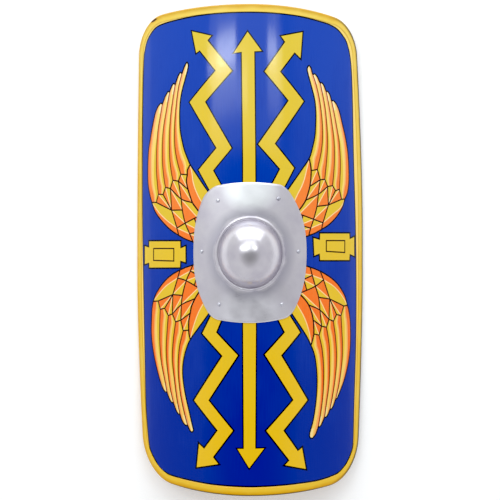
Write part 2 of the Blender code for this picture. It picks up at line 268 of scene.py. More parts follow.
def stroke(paint, run, width, ends=(1.0, 1.0)):
    """A brush line of one width along a run of places; ends gives the width at its two ends as shares."""
    start_share, end_share = ends
    sides = []
    for index, point in enumerate(run):
        before = point - run[index - 1] if index else run[1] - point
        after = run[index + 1] - point if index + 1 < len(run) else before
        before, after = before.normalized(), after.normalized()
        middle = Vector((-before.y - after.y, before.x + after.x)).normalized()
        stretch = max(BEND_REACH, middle.dot(Vector((-before.y, before.x))))
        share = start_share + (end_share - start_share) * index / (len(run) - 1)
        half = middle * (width * share / 2 / stretch)
        sides.append((point + half, point - half))
    for (left, right), (next_left, next_right) in zip(sides, sides[1:]):
        lay(paint, [right, next_right, next_left, left])


# %% [markdown]
# The golden tone of the edging runs on over the board for a few millimetres, more along the right side
# than along the left, and ends at a thin ink line. So the face is first all straw yellow, and the blue
# ground lies inside the border line.

# %% Border and ground
INK_LINE = 0.0034
BORDER_LINE = 0.0031
BORDER_STEP = 0.006
BORDER = (
    (145.5, 400.0), (144.4, 345.0), (143.3, 290.0), (142.2, 220.0), (142.1, 160.0), (142.4, 100.0),
    (143.5, 60.0), (144.6, 50.7), (146.5, 42.0), (150.3, 33.8), (156.1, 26.8), (164.4, 22.8),
    (181.3, 18.2), (200.0, 14.6), (220.0, 12.5), (250.0, 11.4), (280.0, 12.9), (300.0, 15.7),
    (321.8, 21.3), (329.9, 24.1), (337.6, 28.7), (343.1, 35.3), (347.3, 42.9), (350.9, 60.0),
    (352.6, 90.0), (354.0, 160.0), (355.7, 220.0), (356.5, 280.0), (356.2, 340.0), (354.5, 400.0),
    (353.3, 443.7), (351.6, 452.1), (348.3, 460.4), (343.2, 468.6), (336.4, 474.4), (319.2, 480.6),
    (300.0, 483.8), (280.0, 486.0), (250.0, 487.4), (220.0, 485.8), (200.0, 482.9), (173.3, 476.5),
    (165.6, 473.0), (159.1, 467.6), (154.6, 459.6), (150.8, 452.0), (148.7, 443.6), (147.0, 425.0),
)
border_run = smooth(pictured(BORDER), BORDER_STEP, closed=True)
lay("straw", shield_loop)
lay("blue", border_run)
print("border line has", len(border_run), "points")

# %% [markdown]
# Three thunderbolts run up and three run down, behind the boss. The middle one is a straight arrow shaft
# with a head at each end. The outer ones are zigzags. They are pointed, so they are polygons with mitred
# ink outlines.

# %% Thunderbolts
ARROW = (
    (247.6, 31.7), (261.6, 50.9), (254.3, 51.3), (255.3, 160.0), (255.9, 330.0), (255.3, 448.6),
    (264.2, 448.4), (249.2, 468.2), (237.4, 448.9), (243.8, 448.9), (243.1, 330.0), (243.1, 160.0),
    (241.8, 51.9), (233.9, 52.8),
)
UPPER_LEFT_BOLT = (
    (192.0, 31.4), (211.3, 35.8), (207.4, 40.3), (231.9, 70.8), (205.0, 101.8), (231.5, 148.0),
    (213.0, 170.5), (226.0, 194.0), (213.0, 196.0), (198.6, 170.0), (216.6, 148.0), (189.7, 102.2),
    (215.7, 70.6), (199.7, 50.2), (196.2, 53.0),
)
UPPER_RIGHT_BOLT = (
    (302.4, 32.2), (300.5, 58.2), (294.6, 52.2), (280.0, 71.6), (303.6, 101.3), (274.7, 143.6),
    (294.1, 168.0), (282.6, 190.0), (268.0, 192.0), (280.2, 169.0), (258.3, 144.2), (288.7, 100.6),
    (264.7, 71.4), (285.2, 41.9), (281.2, 36.2),
)
LOWER_LEFT_BOLT = (
    (212.9, 312.0), (202.4, 333.4), (222.5, 356.0), (194.2, 400.3), (217.7, 430.5), (204.2, 448.8),
    (199.0, 444.0), (196.8, 467.2), (218.2, 464.0), (212.9, 457.1), (232.8, 430.7), (208.4, 400.3),
    (237.8, 355.5), (216.1, 332.4), (224.5, 312.0),
)
LOWER_RIGHT_BOLT = (
    (287.3, 312.0), (300.0, 332.4), (281.1, 355.5), (307.4, 400.0), (283.3, 430.6), (297.8, 451.2),
    (302.0, 447.8), (305.8, 468.9), (285.1, 465.1), (289.5, 460.4), (266.4, 430.8), (293.5, 400.0),
    (264.9, 354.6), (284.9, 332.4), (274.5, 312.0),
)
BOLTS = ((ARROW, 0.75), (UPPER_LEFT_BOLT, 0.8), (UPPER_RIGHT_BOLT, 0.85), (LOWER_LEFT_BOLT, 1.0),
         (LOWER_RIGHT_BOLT, 1.0))       # each with the width of its ink line as a share


def inked_figure(pixels, line=INK_LINE):
    """A yellow figure with an ink outline."""
    fill = pictured(pixels)
    lay("ink", grown(fill, line))
    lay("yellow", fill)


for bolt, line_share in BOLTS:
    inked_figure(bolt, INK_LINE * line_share)
print(len(painted), "shapes after the thunderbolts")

# %% [markdown]
# A tablet with a dovetail ear on each side lies left and right of the boss. It is a body, two ears that
# widen outwards and a thin line round the field in its middle.

# %% Tablets
UMBER_LINE = 0.0028
LEFT_TABLET = (
    (149.2, 241.4), (180.2, 241.4), (180.3, 248.5), (185.4, 246.4), (185.5, 262.2), (180.2, 260.6),
    (180.0, 267.3), (149.4, 267.5), (149.2, 262.6), (144.9, 264.0), (144.9, 246.2), (149.2, 247.6),
)
LEFT_FIELD = ((153.6, 248.5), (173.8, 248.5), (173.8, 261.0), (153.6, 260.4))
RIGHT_TABLET = (
    (320.2, 233.6), (349.4, 233.6), (349.6, 239.2), (354.2, 237.0), (354.2, 256.0), (349.7, 253.8),
    (349.3, 260.0), (320.2, 260.0), (319.8, 253.4), (314.4, 255.6), (313.6, 238.1), (320.0, 240.0),
)
RIGHT_FIELD = ((326.3, 240.6), (344.8, 240.6), (344.8, 252.5), (326.3, 251.4))
for body, field in ((LEFT_TABLET, LEFT_FIELD), (RIGHT_TABLET, RIGHT_FIELD)):
    inked_figure(body)
    corners = pictured(field)
    lay("umber", grown(corners, UMBER_LINE / 2))
    lay("yellow", grown(corners, -UMBER_LINE / 2))
print(len(painted), "shapes after the tablets")

# %% [markdown]
# Four wings spread from the boss. All four are drawn to one scheme. Five flight feathers, counted from
# the long edge inwards, end in stepped tips; a broad band follows the inner edge; rows of short feathers
# fill the rest. The scheme names the joints where lines meet: oN and iN are the outer and inner corner of
# the base of flight feather N, top and c1 to c3 follow the band, and the m joints tie the short feathers
# together. The x and y joints bound the small shapes beside the boss, rim lies on the edge under m8, and
# q1 and q2 bend the split of the outermost short feather. Each wing was painted freehand, so each has its
# own places for the joints.

# %% The wings' joints and edges
JOINTS = (
    "o1", "i1", "o2", "i2", "o3", "i3", "o4", "i4", "o5", "i5", "top", "c1", "c2", "c3",
    "m1", "m2", "m3", "m4", "m5", "m6", "m7", "m8", "m9", "rim", "x1", "x2", "y1", "y2", "q1", "q2",
)
WINGS = {
    "upper left": {
        "joints": (
            (151.9, 202.4), (156.3, 202.4), (158.4, 194.3), (163.1, 194.5), (165.6, 187.4),
            (170.4, 188.5), (172.9, 180.3), (178.4, 181.2), (180.8, 174.3), (187.3, 174.6),
            (190.2, 164.6), (188.0, 189.4), (192.4, 202.7), (198.6, 211.2),
            (181.2, 199.0), (171.6, 210.2), (182.3, 210.0), (185.2, 223.2), (189.7, 233.8),
            (192.9, 242.0), (176.9, 228.0), (178.6, 235.3), (197.0, 217.0), (185.0, 238.9),
            (194.3, 218.3), (196.0, 222.8), (194.6, 232.6), (196.5, 229.0), (158.8, 212.3),
            (166.3, 219.9),
        ),
        "long edge": ((149.9, 195.0), (148.1, 184.0), (147.8, 170.0), (148.4, 152.0), (150.2, 139.5),
                      (152.4, 126.5), (155.0, 114.3), (158.0, 106.5)),
        "tips": (
            ((161.0, 103.0),),
            ((163.6, 100.8), (165.3, 96.2), (168.2, 91.1)),
            ((170.5, 89.2), (171.9, 85.8), (173.8, 83.0)),
            ((176.2, 81.4), (178.1, 76.0), (180.4, 72.0)),
            ((183.0, 70.4), (184.8, 65.6), (186.9, 61.9)),
        ),
        "notches": ((162.3, 104.2), (169.6, 92.2), (175.2, 84.8), (181.9, 73.8)),
        "between": (
            ((160.0, 117.5), (157.9, 131.0), (156.6, 150.0), (156.4, 170.0), (157.4, 184.0)),
            ((166.4, 110.0), (163.6, 127.0), (162.5, 143.0), (162.5, 163.0), (164.2, 180.0)),
            ((173.0, 98.0), (170.5, 117.0), (169.4, 138.0), (169.7, 158.0), (171.3, 172.0)),
            ((178.5, 87.5), (175.9, 108.0), (174.6, 128.0), (174.9, 147.0), (177.2, 161.0)),
        ),
        "inner edge": ((188.4, 64.8), (187.5, 70.5), (185.0, 80.0), (182.3, 90.0), (180.5, 100.0),
                       (179.8, 110.0), (179.8, 120.0), (180.3, 130.0), (182.0, 140.0), (184.4, 150.0),
                       (188.0, 159.5)),
        "to boss": ((197.0, 175.0), (203.6, 185.0), (211.0, 195.5)),
        "under edge": ((154.4, 210.0), (157.3, 215.2), (161.0, 220.1), (165.4, 225.0), (170.7, 230.0)),
        "under boss": (203.0, 246.0),
        "band": ((187.5, 170.0), (186.4, 181.0), (190.2, 196.5), (195.4, 207.0)),
        "glint": ((190.5, 166.5), (191.9, 173.0), (192.9, 181.0), (195.4, 189.5), (199.0, 197.5),
                  (203.0, 204.0)),
    },
    "upper right": {
        "joints": (
            (344.9, 199.0), (341.5, 199.3), (339.4, 189.3), (335.5, 190.6), (332.5, 185.6),
            (327.6, 186.6), (324.8, 179.3), (320.2, 179.8), (317.4, 169.5), (311.2, 170.6),
            (309.2, 158.4), (309.9, 186.3), (305.8, 200.2), (298.3, 211.2),
            (318.4, 194.2), (328.4, 205.0), (317.0, 206.4), (313.6, 219.3), (310.7, 228.2),
            (308.8, 235.6), (323.0, 222.8), (321.6, 229.4), (299.3, 214.0), (315.5, 232.9),
            (302.8, 215.4), (301.8, 221.5), (302.8, 226.0), (302.0, 224.0), (340.6, 207.6),
            (332.5, 214.6),
        ),
        "long edge": ((347.4, 192.8), (348.8, 183.0), (348.9, 170.0), (347.9, 153.0), (345.6, 138.0),
                      (342.7, 125.2), (339.6, 112.3), (336.3, 103.9)),
        "tips": (
            ((333.3, 100.5),),
            ((330.7, 97.5), (329.5, 94.0), (327.5, 91.2)),
            ((325.2, 88.8), (323.8, 85.2), (321.7, 82.5)),
            ((319.2, 80.9), (317.5, 77.0), (314.9, 73.8)),
            ((311.9, 71.5), (310.9, 67.8), (309.0, 65.2)),
        ),
        "notches": ((331.6, 101.0), (326.2, 91.5), (320.2, 83.0), (312.7, 74.4)),
        "between": (
            ((334.0, 112.0), (336.8, 127.0), (339.3, 143.0), (340.4, 162.0), (340.0, 178.0)),
            ((328.9, 105.0), (331.6, 121.0), (334.0, 140.0), (334.5, 158.0), (333.7, 174.0)),
            ((322.6, 94.0), (325.3, 109.0), (326.9, 126.0), (327.6, 144.0), (326.7, 160.0)),
            ((316.4, 85.5), (319.6, 100.0), (321.9, 118.0), (322.6, 136.0), (321.2, 152.0)),
        ),
        "inner edge": ((307.1, 68.6), (308.3, 75.0), (311.8, 88.0), (314.7, 100.0), (315.8, 112.0),
                       (315.7, 124.0), (314.9, 136.0), (312.3, 148.5)),
        "to boss": ((301.5, 170.0), (291.1, 185.0), (284.0, 195.0)),
        "under edge": ((342.5, 207.0), (338.6, 214.0), (333.5, 220.3), (328.2, 225.2)),
        "under boss": (299.0, 239.5),
        "band": ((310.4, 164.0), (310.9, 178.0), (308.2, 193.0), (302.3, 206.0)),
        "glint": ((308.7, 160.8), (306.8, 169.0), (304.4, 179.0), (301.4, 187.0), (297.6, 194.3),
                  (294.5, 201.0)),
    },
    "lower left": {
        "joints": (
            (153.2, 301.4), (158.2, 301.0), (160.2, 309.3), (164.7, 308.3), (168.3, 315.5),
            (172.4, 313.9), (175.6, 321.9), (180.8, 320.2), (183.2, 330.7), (188.7, 330.2),
            (190.3, 339.6), (190.2, 313.1), (195.0, 298.6), (199.5, 291.2),
            (181.3, 304.8), (172.8, 294.6), (182.4, 295.4), (186.2, 280.7), (190.4, 271.0),
            (192.8, 265.0), (177.7, 278.0), (180.0, 270.0), (198.5, 287.8), (186.0, 267.3),
            (194.5, 284.6), (196.3, 278.3), (195.6, 273.9), (196.3, 277.0), (159.5, 293.2),
            (166.5, 285.6),
        ),
        "long edge": ((152.0, 308.5), (151.5, 320.0), (151.3, 333.0), (152.6, 347.0), (155.2, 361.5),
                      (158.6, 375.5), (161.6, 385.2), (163.7, 389.9)),
        "tips": (
            ((165.7, 392.4),),
            ((168.0, 395.3), (169.9, 399.9), (172.0, 402.9)),
            ((174.4, 405.8), (176.4, 411.0), (178.7, 414.6)),
            ((181.1, 418.0), (183.2, 422.7), (186.0, 425.7)),
            ((188.7, 428.0), (190.0, 430.7), (191.9, 432.4)),
        ),
        "notches": ((166.9, 391.9), (173.3, 402.3), (179.9, 413.8), (187.6, 425.3)),
        "between": (
            ((164.6, 379.5), (161.3, 362.0), (159.8, 343.0), (159.7, 326.0)),
            ((169.9, 387.0), (167.1, 366.0), (166.2, 349.0), (167.1, 331.0)),
            ((177.0, 399.5), (174.3, 379.0), (172.4, 359.0), (173.2, 341.0)),
            ((183.5, 409.5), (179.9, 390.5), (178.2, 369.0), (179.3, 348.0)),
        ),
        "inner edge": ((193.5, 430.3), (192.2, 424.5), (188.9, 410.0), (185.6, 395.5), (183.3, 381.0),
                       (182.7, 369.5), (184.0, 358.0), (187.0, 347.0)),
        "to boss": ((197.2, 329.8), (204.3, 320.0), (213.0, 308.0)),
        "under edge": ((155.6, 294.7), (158.8, 289.0), (163.0, 283.1), (168.3, 277.5), (174.0, 273.3)),
        "under boss": (203.0, 261.0),
        "band": ((189.2, 335.0), (188.8, 321.0), (191.6, 306.0), (197.0, 295.0)),
        "glint": ((190.7, 338.3), (192.2, 331.0), (194.0, 325.0), (196.3, 318.0), (199.2, 311.0),
                  (203.0, 304.0)),
    },
    "lower right": {
        "joints": (
            (347.4, 305.3), (343.8, 306.0), (341.0, 315.5), (336.5, 314.5), (333.4, 321.2),
            (329.0, 319.3), (326.5, 327.2), (321.6, 326.3), (319.1, 335.2), (313.8, 333.9),
            (311.0, 345.4), (313.2, 320.0), (308.6, 304.8), (300.3, 294.6),
            (320.0, 310.2), (329.8, 299.0), (318.7, 297.3), (315.4, 286.2), (312.3, 275.4),
            (310.2, 267.3), (323.5, 279.8), (320.2, 271.2), (301.3, 292.6), (315.5, 269.1),
            (306.8, 290.0), (304.2, 281.0), (304.6, 278.9), (304.6, 280.5), (341.8, 295.5),
            (334.0, 286.6),
        ),
        "long edge": ((348.9, 311.0), (350.3, 322.0), (350.6, 338.0), (350.0, 351.0), (347.9, 365.5),
                      (344.3, 379.8), (340.4, 390.4)),
        "tips": (
            ((336.9, 398.9),),
            ((334.6, 402.2), (333.0, 406.6), (331.2, 409.4)),
            ((329.0, 412.0), (327.4, 415.6), (325.6, 417.6)),
            ((323.2, 420.6), (321.4, 424.7), (319.6, 427.1)),
            ((317.4, 429.6), (315.5, 434.6), (312.3, 438.6)),
        ),
        "notches": ((335.8, 398.7), (330.0, 409.0), (324.6, 417.0), (318.4, 426.4)),
        "between": (
            ((338.8, 385.5), (341.6, 366.0), (342.5, 349.0), (341.9, 331.0)),
            ((332.4, 397.0), (335.3, 378.0), (336.6, 358.0), (335.7, 339.0)),
            ((326.6, 402.5), (329.0, 385.0), (329.7, 366.0), (329.2, 345.0)),
            ((321.0, 411.5), (323.2, 392.0), (323.7, 370.0), (322.2, 350.0)),
        ),
        "inner edge": ((310.1, 437.8), (309.6, 433.5), (313.1, 420.5), (315.9, 402.0), (317.0, 384.0),
                       (316.6, 370.0), (314.7, 356.0)),
        "to boss": ((305.8, 335.0), (296.3, 320.5), (288.0, 308.0)),
        "under edge": ((345.3, 297.0), (342.4, 291.0), (338.0, 284.4), (332.5, 279.0), (326.5, 274.7)),
        "under boss": (298.0, 263.0),
        "band": ((312.7, 339.5), (313.8, 327.0), (311.5, 312.0), (305.0, 299.5)),
        "glint": ((310.7, 343.5), (309.6, 334.0), (307.0, 324.5), (303.6, 316.0), (299.8, 309.3),
                  (296.0, 303.0)),
    },
}
print(len(WINGS), "wings with", len(JOINTS), "joints each")

# %% [markdown]
# Each short feather is split from corner to corner. The half towards the long edge is orange, the other
# stays yellow, and a cream glint runs along the split with an apricot edge where it meets the orange. A
# flight feather is split along its length in the same way, and the orange thins out towards a cream tip.

# %% The short feathers and the lines between them
SHORT_FEATHERS = (          # corner by corner; the split runs from the first corner to the last
    "o2 i1 m2", "o3 i2 m2", "o4 i3 m1", "o5 i4 c1", "i4 m1 c2", "i3 m2 m3", "m1 m3 m4 m9", "m2 m7 m4",
    "m7 m8 rim m6 m5", "m4 m5 y1 y2",
)
SHORT_LINES = (
    "i4 c1", "i3 m1 c2", "i4 m1", "i3 m2", "i2 m2", "i1 m2", "m2 m3", "m1 m3 m4 m5 m6", "m2 m7 m8",
    "m7 m4 m9", "x1 x2", "m5 y1",
)
GLINT_LINE = 0.0024
GLINT_EDGE = 0.0012
GLINT_ENDS = (0.6, 0.6)     # the width of a glint at its ends, as shares
SPLIT_STEP = 0.01           # a straight split needs few places


def glint(run):
    """The cream glint along a split, with its apricot edge."""
    stroke("apricot", run, GLINT_LINE + 2 * GLINT_EDGE, GLINT_ENDS)
    stroke("cream", run, GLINT_LINE, GLINT_ENDS)


print(len(SHORT_FEATHERS), "short feathers and", len(SHORT_LINES), "lines in each wing")

# %% Flight feathers
FEATHER_STEPS = 26
BANDS = {                   # where each band ends: steps of (share of the length, share across)
    "orange": ((0.0, 0.58), (0.15, 0.37), (0.5, 0.31), (0.8, 0.17), (1.0, 0.0)),
    "apricot": ((0.0, 0.70), (0.15, 0.49), (0.5, 0.44), (0.85, 0.44), (1.0, 0.25)),
    "straw": ((0.0, 0.78), (0.2, 0.66), (0.55, 0.80), (0.72, 1.0), (1.0, 1.0)),
}
TIP_FROM = 0.88             # the cream tip starts at this share of a flight feather's length
TIP_ACROSS = (0.66, 0.32)   # how far across the feather it starts, where it begins and at its tip


def steps_along(run, count):
    """The run again, as a fixed number of places evenly spaced along it."""
    lengths = [0.0]
    for a, b in zip(run, run[1:]):
        lengths.append(lengths[-1] + (b - a).length)
    places = []
    index = 0
    for step in range(count + 1):
        goal = lengths[-1] * step / count
        while index + 2 < len(run) and lengths[index + 1] < goal:
            index += 1
        span = max(lengths[index + 1] - lengths[index], 1e-9)
        places.append(run[index].lerp(run[index + 1], min(1.0, max(0.0, (goal - lengths[index]) / span))))
    return places


def share_at(steps, value):
    """The height, at a value, of a line through a few (value, height) steps."""
    for (low, first), (high, second) in zip(steps, steps[1:]):
        if value <= high:
            return first + (second - first) * (value - low) / (high - low)
    return steps[-1][1]


def flight_feather(outer, inner):
    """Bands of colour along a flight feather, between its two sides, each from its base to its tip."""
    outer = steps_along(outer, FEATHER_STEPS)
    inner = steps_along(inner, FEATHER_STEPS)
    low = outer
    for paint, steps in BANDS.items():
        shares = [share_at(steps, index / FEATHER_STEPS) for index in range(FEATHER_STEPS + 1)]
        edge = [a.lerp(b, share) for a, b, share in zip(outer, inner, shares)]
        for index in range(FEATHER_STEPS):
            lay(paint, [low[index], low[index + 1], edge[index + 1], edge[index]])
        low = edge
    first = round(TIP_FROM * FEATHER_STEPS)
    for index in range(first, FEATHER_STEPS):
        cream = []
        for step in (index, index + 1):
            share = (step - first) / (FEATHER_STEPS - first)
            near = TIP_ACROSS[0] + (TIP_ACROSS[1] - TIP_ACROSS[0]) * share
            cream += [outer[step].lerp(inner[step], near), inner[step]]
        lay("cream", [cream[0], cream[2], cream[3], cream[1]])


# %% Colour the short feathers
FEATHER_LINE_ENDS = (0.8, 1.0)      # the width of the line between two flight feathers, at its tip and base
BAND_LINE = 1.2                     # and of the lines along the band and round the wing, as shares
EDGE_LINE = 0.9
BOSS_END = 0.35                     # where the last feather beside the boss ends, from y1 to the boss


def short_feathers(joints, under, band_run, glint_run):
    """The orange halves and glints of a wing's short feathers, and of its band."""
    for feather in SHORT_FEATHERS:
        corners = [joints[joint] for joint in feather.split()]
        lay("orange", corners)
        glint(smooth([corners[0], corners[-1]], SPLIT_STEP))
    lay("orange", [joints["x1"], joints["x2"], joints["m9"]])
    boss_end = joints["y1"].lerp(under[-1], BOSS_END)
    lay("orange", [joints["m5"], joints["m6"], under[-1], boss_end])
    glint(smooth([joints["m5"], boss_end], SPLIT_STEP))
    outer_split = smooth([joints["o1"], joints["q1"], joints["q2"], joints["m7"]])
    lay("orange", smooth(under[:-3]) + outer_split[::-1])
    glint(outer_split)
    lay("orange", band_run + glint_run[::-1])
    glint(glint_run)


def wing_lines(joints, between, band_run, edges):
    """Every line of a wing: between its feathers, along its band and round its edge."""
    for line in between:
        stroke("sienna", line, UMBER_LINE, FEATHER_LINE_ENDS)
    for number in range(1, 6):
        stroke("umber", [joints["o%d" % number], joints["i%d" % number]], UMBER_LINE)
        if number > 1:
            stroke("umber", [joints["o%d" % number], joints["i%d" % (number - 1)]], UMBER_LINE)
    for line in SHORT_LINES:
        stroke("umber", smooth([joints[joint] for joint in line.split()]), UMBER_LINE)
    stroke("umber", band_run, UMBER_LINE * BAND_LINE)
    for run in edges:
        stroke("ink", run, INK_LINE * EDGE_LINE)


# %% Draw the wings
TIP_STEP = 0.002            # finer than elsewhere, as the tips are small
INSIDE_STEP = 0.004


def draw_wing(name, wing):
    """Lays one wing: its ground, its coloured feathers and then every line."""
    joints = dict(zip(JOINTS, pictured(wing["joints"])))
    tips = [pictured(tip) for tip in wing["tips"]]
    notches = pictured(wing["notches"])
    inner_edge = pictured(wing["inner edge"])
    band = [joints["top"]]
    for middle, joint in zip(pictured(wing["band"]), ("i5", "c1", "c2", "c3")):
        band += [middle, joints[joint]]
    under = [joints["o1"]] + pictured(wing["under edge"]) + [joints["m8"], joints["rim"], joints["m6"]]
    under.append(on_face(wing["under boss"]))
    between = []
    for notch, pixels, base in zip(notches, wing["between"], ("o2", "o3", "o4", "o5")):
        between.append(smooth([notch] + pictured(pixels) + [joints[base]]))

    outside = smooth([joints["o1"]] + pictured(wing["long edge"]) + tips[0])
    edge_runs = [outside]
    for notch, before, tip in zip(notches, tips, tips[1:]):
        edge_runs.append([before[-1], notch])
        edge_runs.append(smooth([notch] + tip, TIP_STEP))
    inside = [tips[4][-1]] + inner_edge + [joints["top"]]
    edge_runs.append(smooth(inside + pictured(wing["to boss"]), INSIDE_STEP))
    silhouette = smooth(under)[::-1]
    for run in edge_runs:
        silhouette += run[1:]
    lay("yellow", silhouette)

    outer_sides = [outside]
    for line, tip in zip(between, tips[1:]):
        outer_sides.append(line[::-1] + smooth([line[0]] + tip, TIP_STEP)[1:])
    for number, outer_side in enumerate(outer_sides):
        if number < 4:
            inner = [tips[number][-1]] + between[number] + [joints["i%d" % (number + 1)]]
        else:
            inner = smooth(inside) + smooth(band[:3])[1:]
        flight_feather(outer_side, inner[::-1])

    band_run = smooth(band)
    short_feathers(joints, under, band_run, smooth([joints["top"]] + pictured(wing["glint"])))
    wing_lines(joints, between, band_run, edge_runs + [smooth(under)])
    print(name, "wing:", len(painted), "shapes so far")


for wing_name, wing_places in WINGS.items():
    draw_wing(wing_name, wing_places)

# %% Border line
line_middle = grown(border_run, -BORDER_LINE / 2)
stroke("ink", line_middle + line_middle[:1], BORDER_LINE)
print(len(painted), "painted shapes in all")

# %% [markdown]
# The board's front is cut along every painted edge, and along close lines up its height so that it bends
# smoothly. The result is one flat arrangement of triangles. Each triangle lies inside some of the painted
# shapes, and the last of them gives its paint. The back is the same outline, cut along the bend lines
# alone.

# %% The flat arrangement
EDGING_WIDTH = 0.0192
EDGING_FRONT = 0.0170       # the hide is trimmed a little shorter on the face than on the back
GAP = 0.0003
EDGING_WALL = 0.0012
EDGING_PROUD = EDGING_WALL + GAP
EDGING_CURVE = 0.0045
BOARD_INSET = EDGING_WALL + GAP
BOARD_CHAMFER = (2 - math.sqrt(2)) * (EDGING_CURVE - EDGING_WALL)
BEND_STRIP = 0.006
SNAP_MM = 0.01
BOSS_T = -0.0055
HAND_HOLE = (0.0625, 0.0678)        # half sizes, across and up
HAND_HOLE_STEPS = 72


def arrangement(loops, shapes):
    """Triangles of the area inside the first loop and outside the second, with the shapes lying on each."""
    points, edges, faces = [], [], []
    for loop in loops + [shape for _, shape in shapes]:
        first = len(points)
        points += [Vector((p.x / MM, p.y / MM)) for p in loop]
        faces.append(list(range(first, first + len(loop))))
    reach = max(p.x for p in loops[0])
    count = int(reach / BEND_STRIP)
    for index in range(-count, count + 1):
        first = len(points)
        points += [Vector((index * BEND_STRIP / MM, end * HEIGHT / MM)) for end in (-1, 1)]
        edges.append((first, first + 1))
    result = geometry.delaunay_2d_cdt(points, edges, faces, 1, SNAP_MM, True)
    places, triangles, owners = result[0], result[2], result[5]
    kept, top = [], []
    for triangle, inside in zip(triangles, owners):
        if 0 in inside and 1 not in inside:
            kept.append(list(triangle))
            top.append(max(inside) - 2)
    return [p * MM for p in places], kept, top


board_loop = moved_in(shield_loop, BOARD_INSET + BOARD_CHAMFER)
print("the board's face starts", round(1000 * (BOARD_INSET + BOARD_CHAMFER), 2), "mm inside the outline")

# %% [markdown]
# Every finish is worked out in real millimetres. The boards, skins and plates carry their flat layout
# with them as an attribute, so a grain or a brush mark follows the curve as it does on a sheet that was
# painted and then bent. One function turns a display colour into light, and one adds a node with its
# settings and links.

# %% Colours and nodes
NOISE_ENDS = (0.3, 0.7)     # most of a noise lies between these


def linear(code):
    """A display colour such as "e8b81e" as the linear values that a shader uses."""
    values = [int(code[index:index + 2], 16) / 255 for index in (0, 2, 4)]
    return [v / 12.92 if v <= 0.04045 else ((v + 0.055) / 1.055) ** 2.4 for v in values] + [1.0]


def feed(tree, node, inputs):
    """Gives a node its inputs, in order or by name. A node among them stands for its first output."""
    for key, value in inputs.items() if isinstance(inputs, dict) else enumerate(inputs):
        if isinstance(value, bpy.types.Node):
            value = value.outputs[0]
        if isinstance(value, bpy.types.NodeSocket):
            tree.links.new(value, node.inputs[key])
        else:
            node.inputs[key].default_value = value


def add(tree, kind, inputs=(), **settings):
    """Adds a node with its settings, values and links."""
    made = tree.nodes.new(kind)
    for name, value in settings.items():
        setattr(made, name, value)
    feed(tree, made, inputs)
    return made


def new_material(name):
    """An empty node material with its shader, and the flat layout's coordinates."""
    material = bpy.data.materials.new(name)
    material.use_nodes = True
    tree = material.node_tree
    flat = add(tree, "ShaderNodeAttribute", attribute_name="flat").outputs["Vector"]
    return material, tree, tree.nodes["Principled BSDF"], flat


def grain(tree, where, size, detail=3.0, stretch=(1.0, 1.0, 1.0)):
    """Noise whose features are about the given size in metres, drawn out along the axes by stretch."""
    scale = [1 / (size * share) for share in stretch]
    placed = add(tree, "ShaderNodeVectorMath", {0: where, 1: scale}, operation="MULTIPLY").outputs[0]
    made = add(tree, "ShaderNodeTexNoise", {"Vector": placed, "Scale": 1.0, "Detail": detail})
    return made.outputs["Fac"]


def layered(tree, tone, layers):
    """A tone with further tones laid over it, each as far as its cover reaches."""
    for cover, colour in layers:
        tone = add(tree, "ShaderNodeMix", {0: cover, 6: tone, 7: colour}, data_type="RGBA").outputs[2]
    return tone


# %% [markdown]
# The face is brushed oil paint, laid thin and flowed out. The brush ran up and down the shield: its marks
# are a millimetre or two wide and some centimetres long, hardly raised, and the coat is a little darker
# where two strokes overlap. Oil paint dries to a semi-gloss, so each lamp shows as a soft patch with a
# clear edge.

# %% The paints
BRUSH_MARK = 0.0018
BRUSH_LENGTH = 30.0         # times its width
PATCH = 0.070
PATCH_LENGTH = 1.6          # times its width
PAINT_IOR = 1.46
PAINT_ROUGHNESS = (0.08, 0.13)
TOP_LIGHT_FROM = 0.45           # heights between which the lighter top tone, painted light, turns into the full one
FULL_FROM = -0.40
BRUSH_HEIGHT = 0.00001
BRUSH_RELIEF = 0.6          # how strongly that height shows
UNEVEN_PATCHES = 0.12       # how far the patches and the brush marks shift the tone
UNEVEN_MARKS = 0.10


def brush_paint(name, lit_top_tone, full):
    """Oil paint, brushed on: a lighter tone near the top, which is painted light, and the full tone towards
    the foot.
    """
    material, tree, shader, flat = new_material(name)
    marks = grain(tree, flat, BRUSH_MARK, 2.0, (1.0, BRUSH_LENGTH, 1.0))
    patches = grain(tree, flat, PATCH, 4.0, (1.0, PATCH_LENGTH, 1.0))
    height = add(tree, "ShaderNodeSeparateXYZ", (flat,)).outputs["Y"]
    # Lighter towards the top: painted light.
    top_light_share = add(tree, "ShaderNodeMapRange", (height, TOP_LIGHT_FROM, FULL_FROM, 0.0, 1.0))
    by_patch = add(tree, "ShaderNodeMapRange", (patches, *NOISE_ENDS, -UNEVEN_PATCHES, UNEVEN_PATCHES))
    by_mark = add(tree, "ShaderNodeMapRange", (marks, *NOISE_ENDS, -UNEVEN_MARKS, UNEVEN_MARKS))
    share = add(tree, "ShaderNodeMath", (top_light_share, by_patch), operation="ADD")
    share = add(tree, "ShaderNodeMath", (share, by_mark), operation="ADD", use_clamp=True)
    tone = layered(tree, linear(lit_top_tone), [(share, linear(full))])
    rough = add(tree, "ShaderNodeMapRange", (patches, *NOISE_ENDS, *PAINT_ROUGHNESS))
    relief = {"Height": marks, "Distance": BRUSH_HEIGHT, "Strength": BRUSH_RELIEF}
    bump = add(tree, "ShaderNodeBump", relief)
    feed(tree, shader, {"Base Color": tone, "Roughness": rough, "IOR": PAINT_IOR, "Normal": bump})
    return material
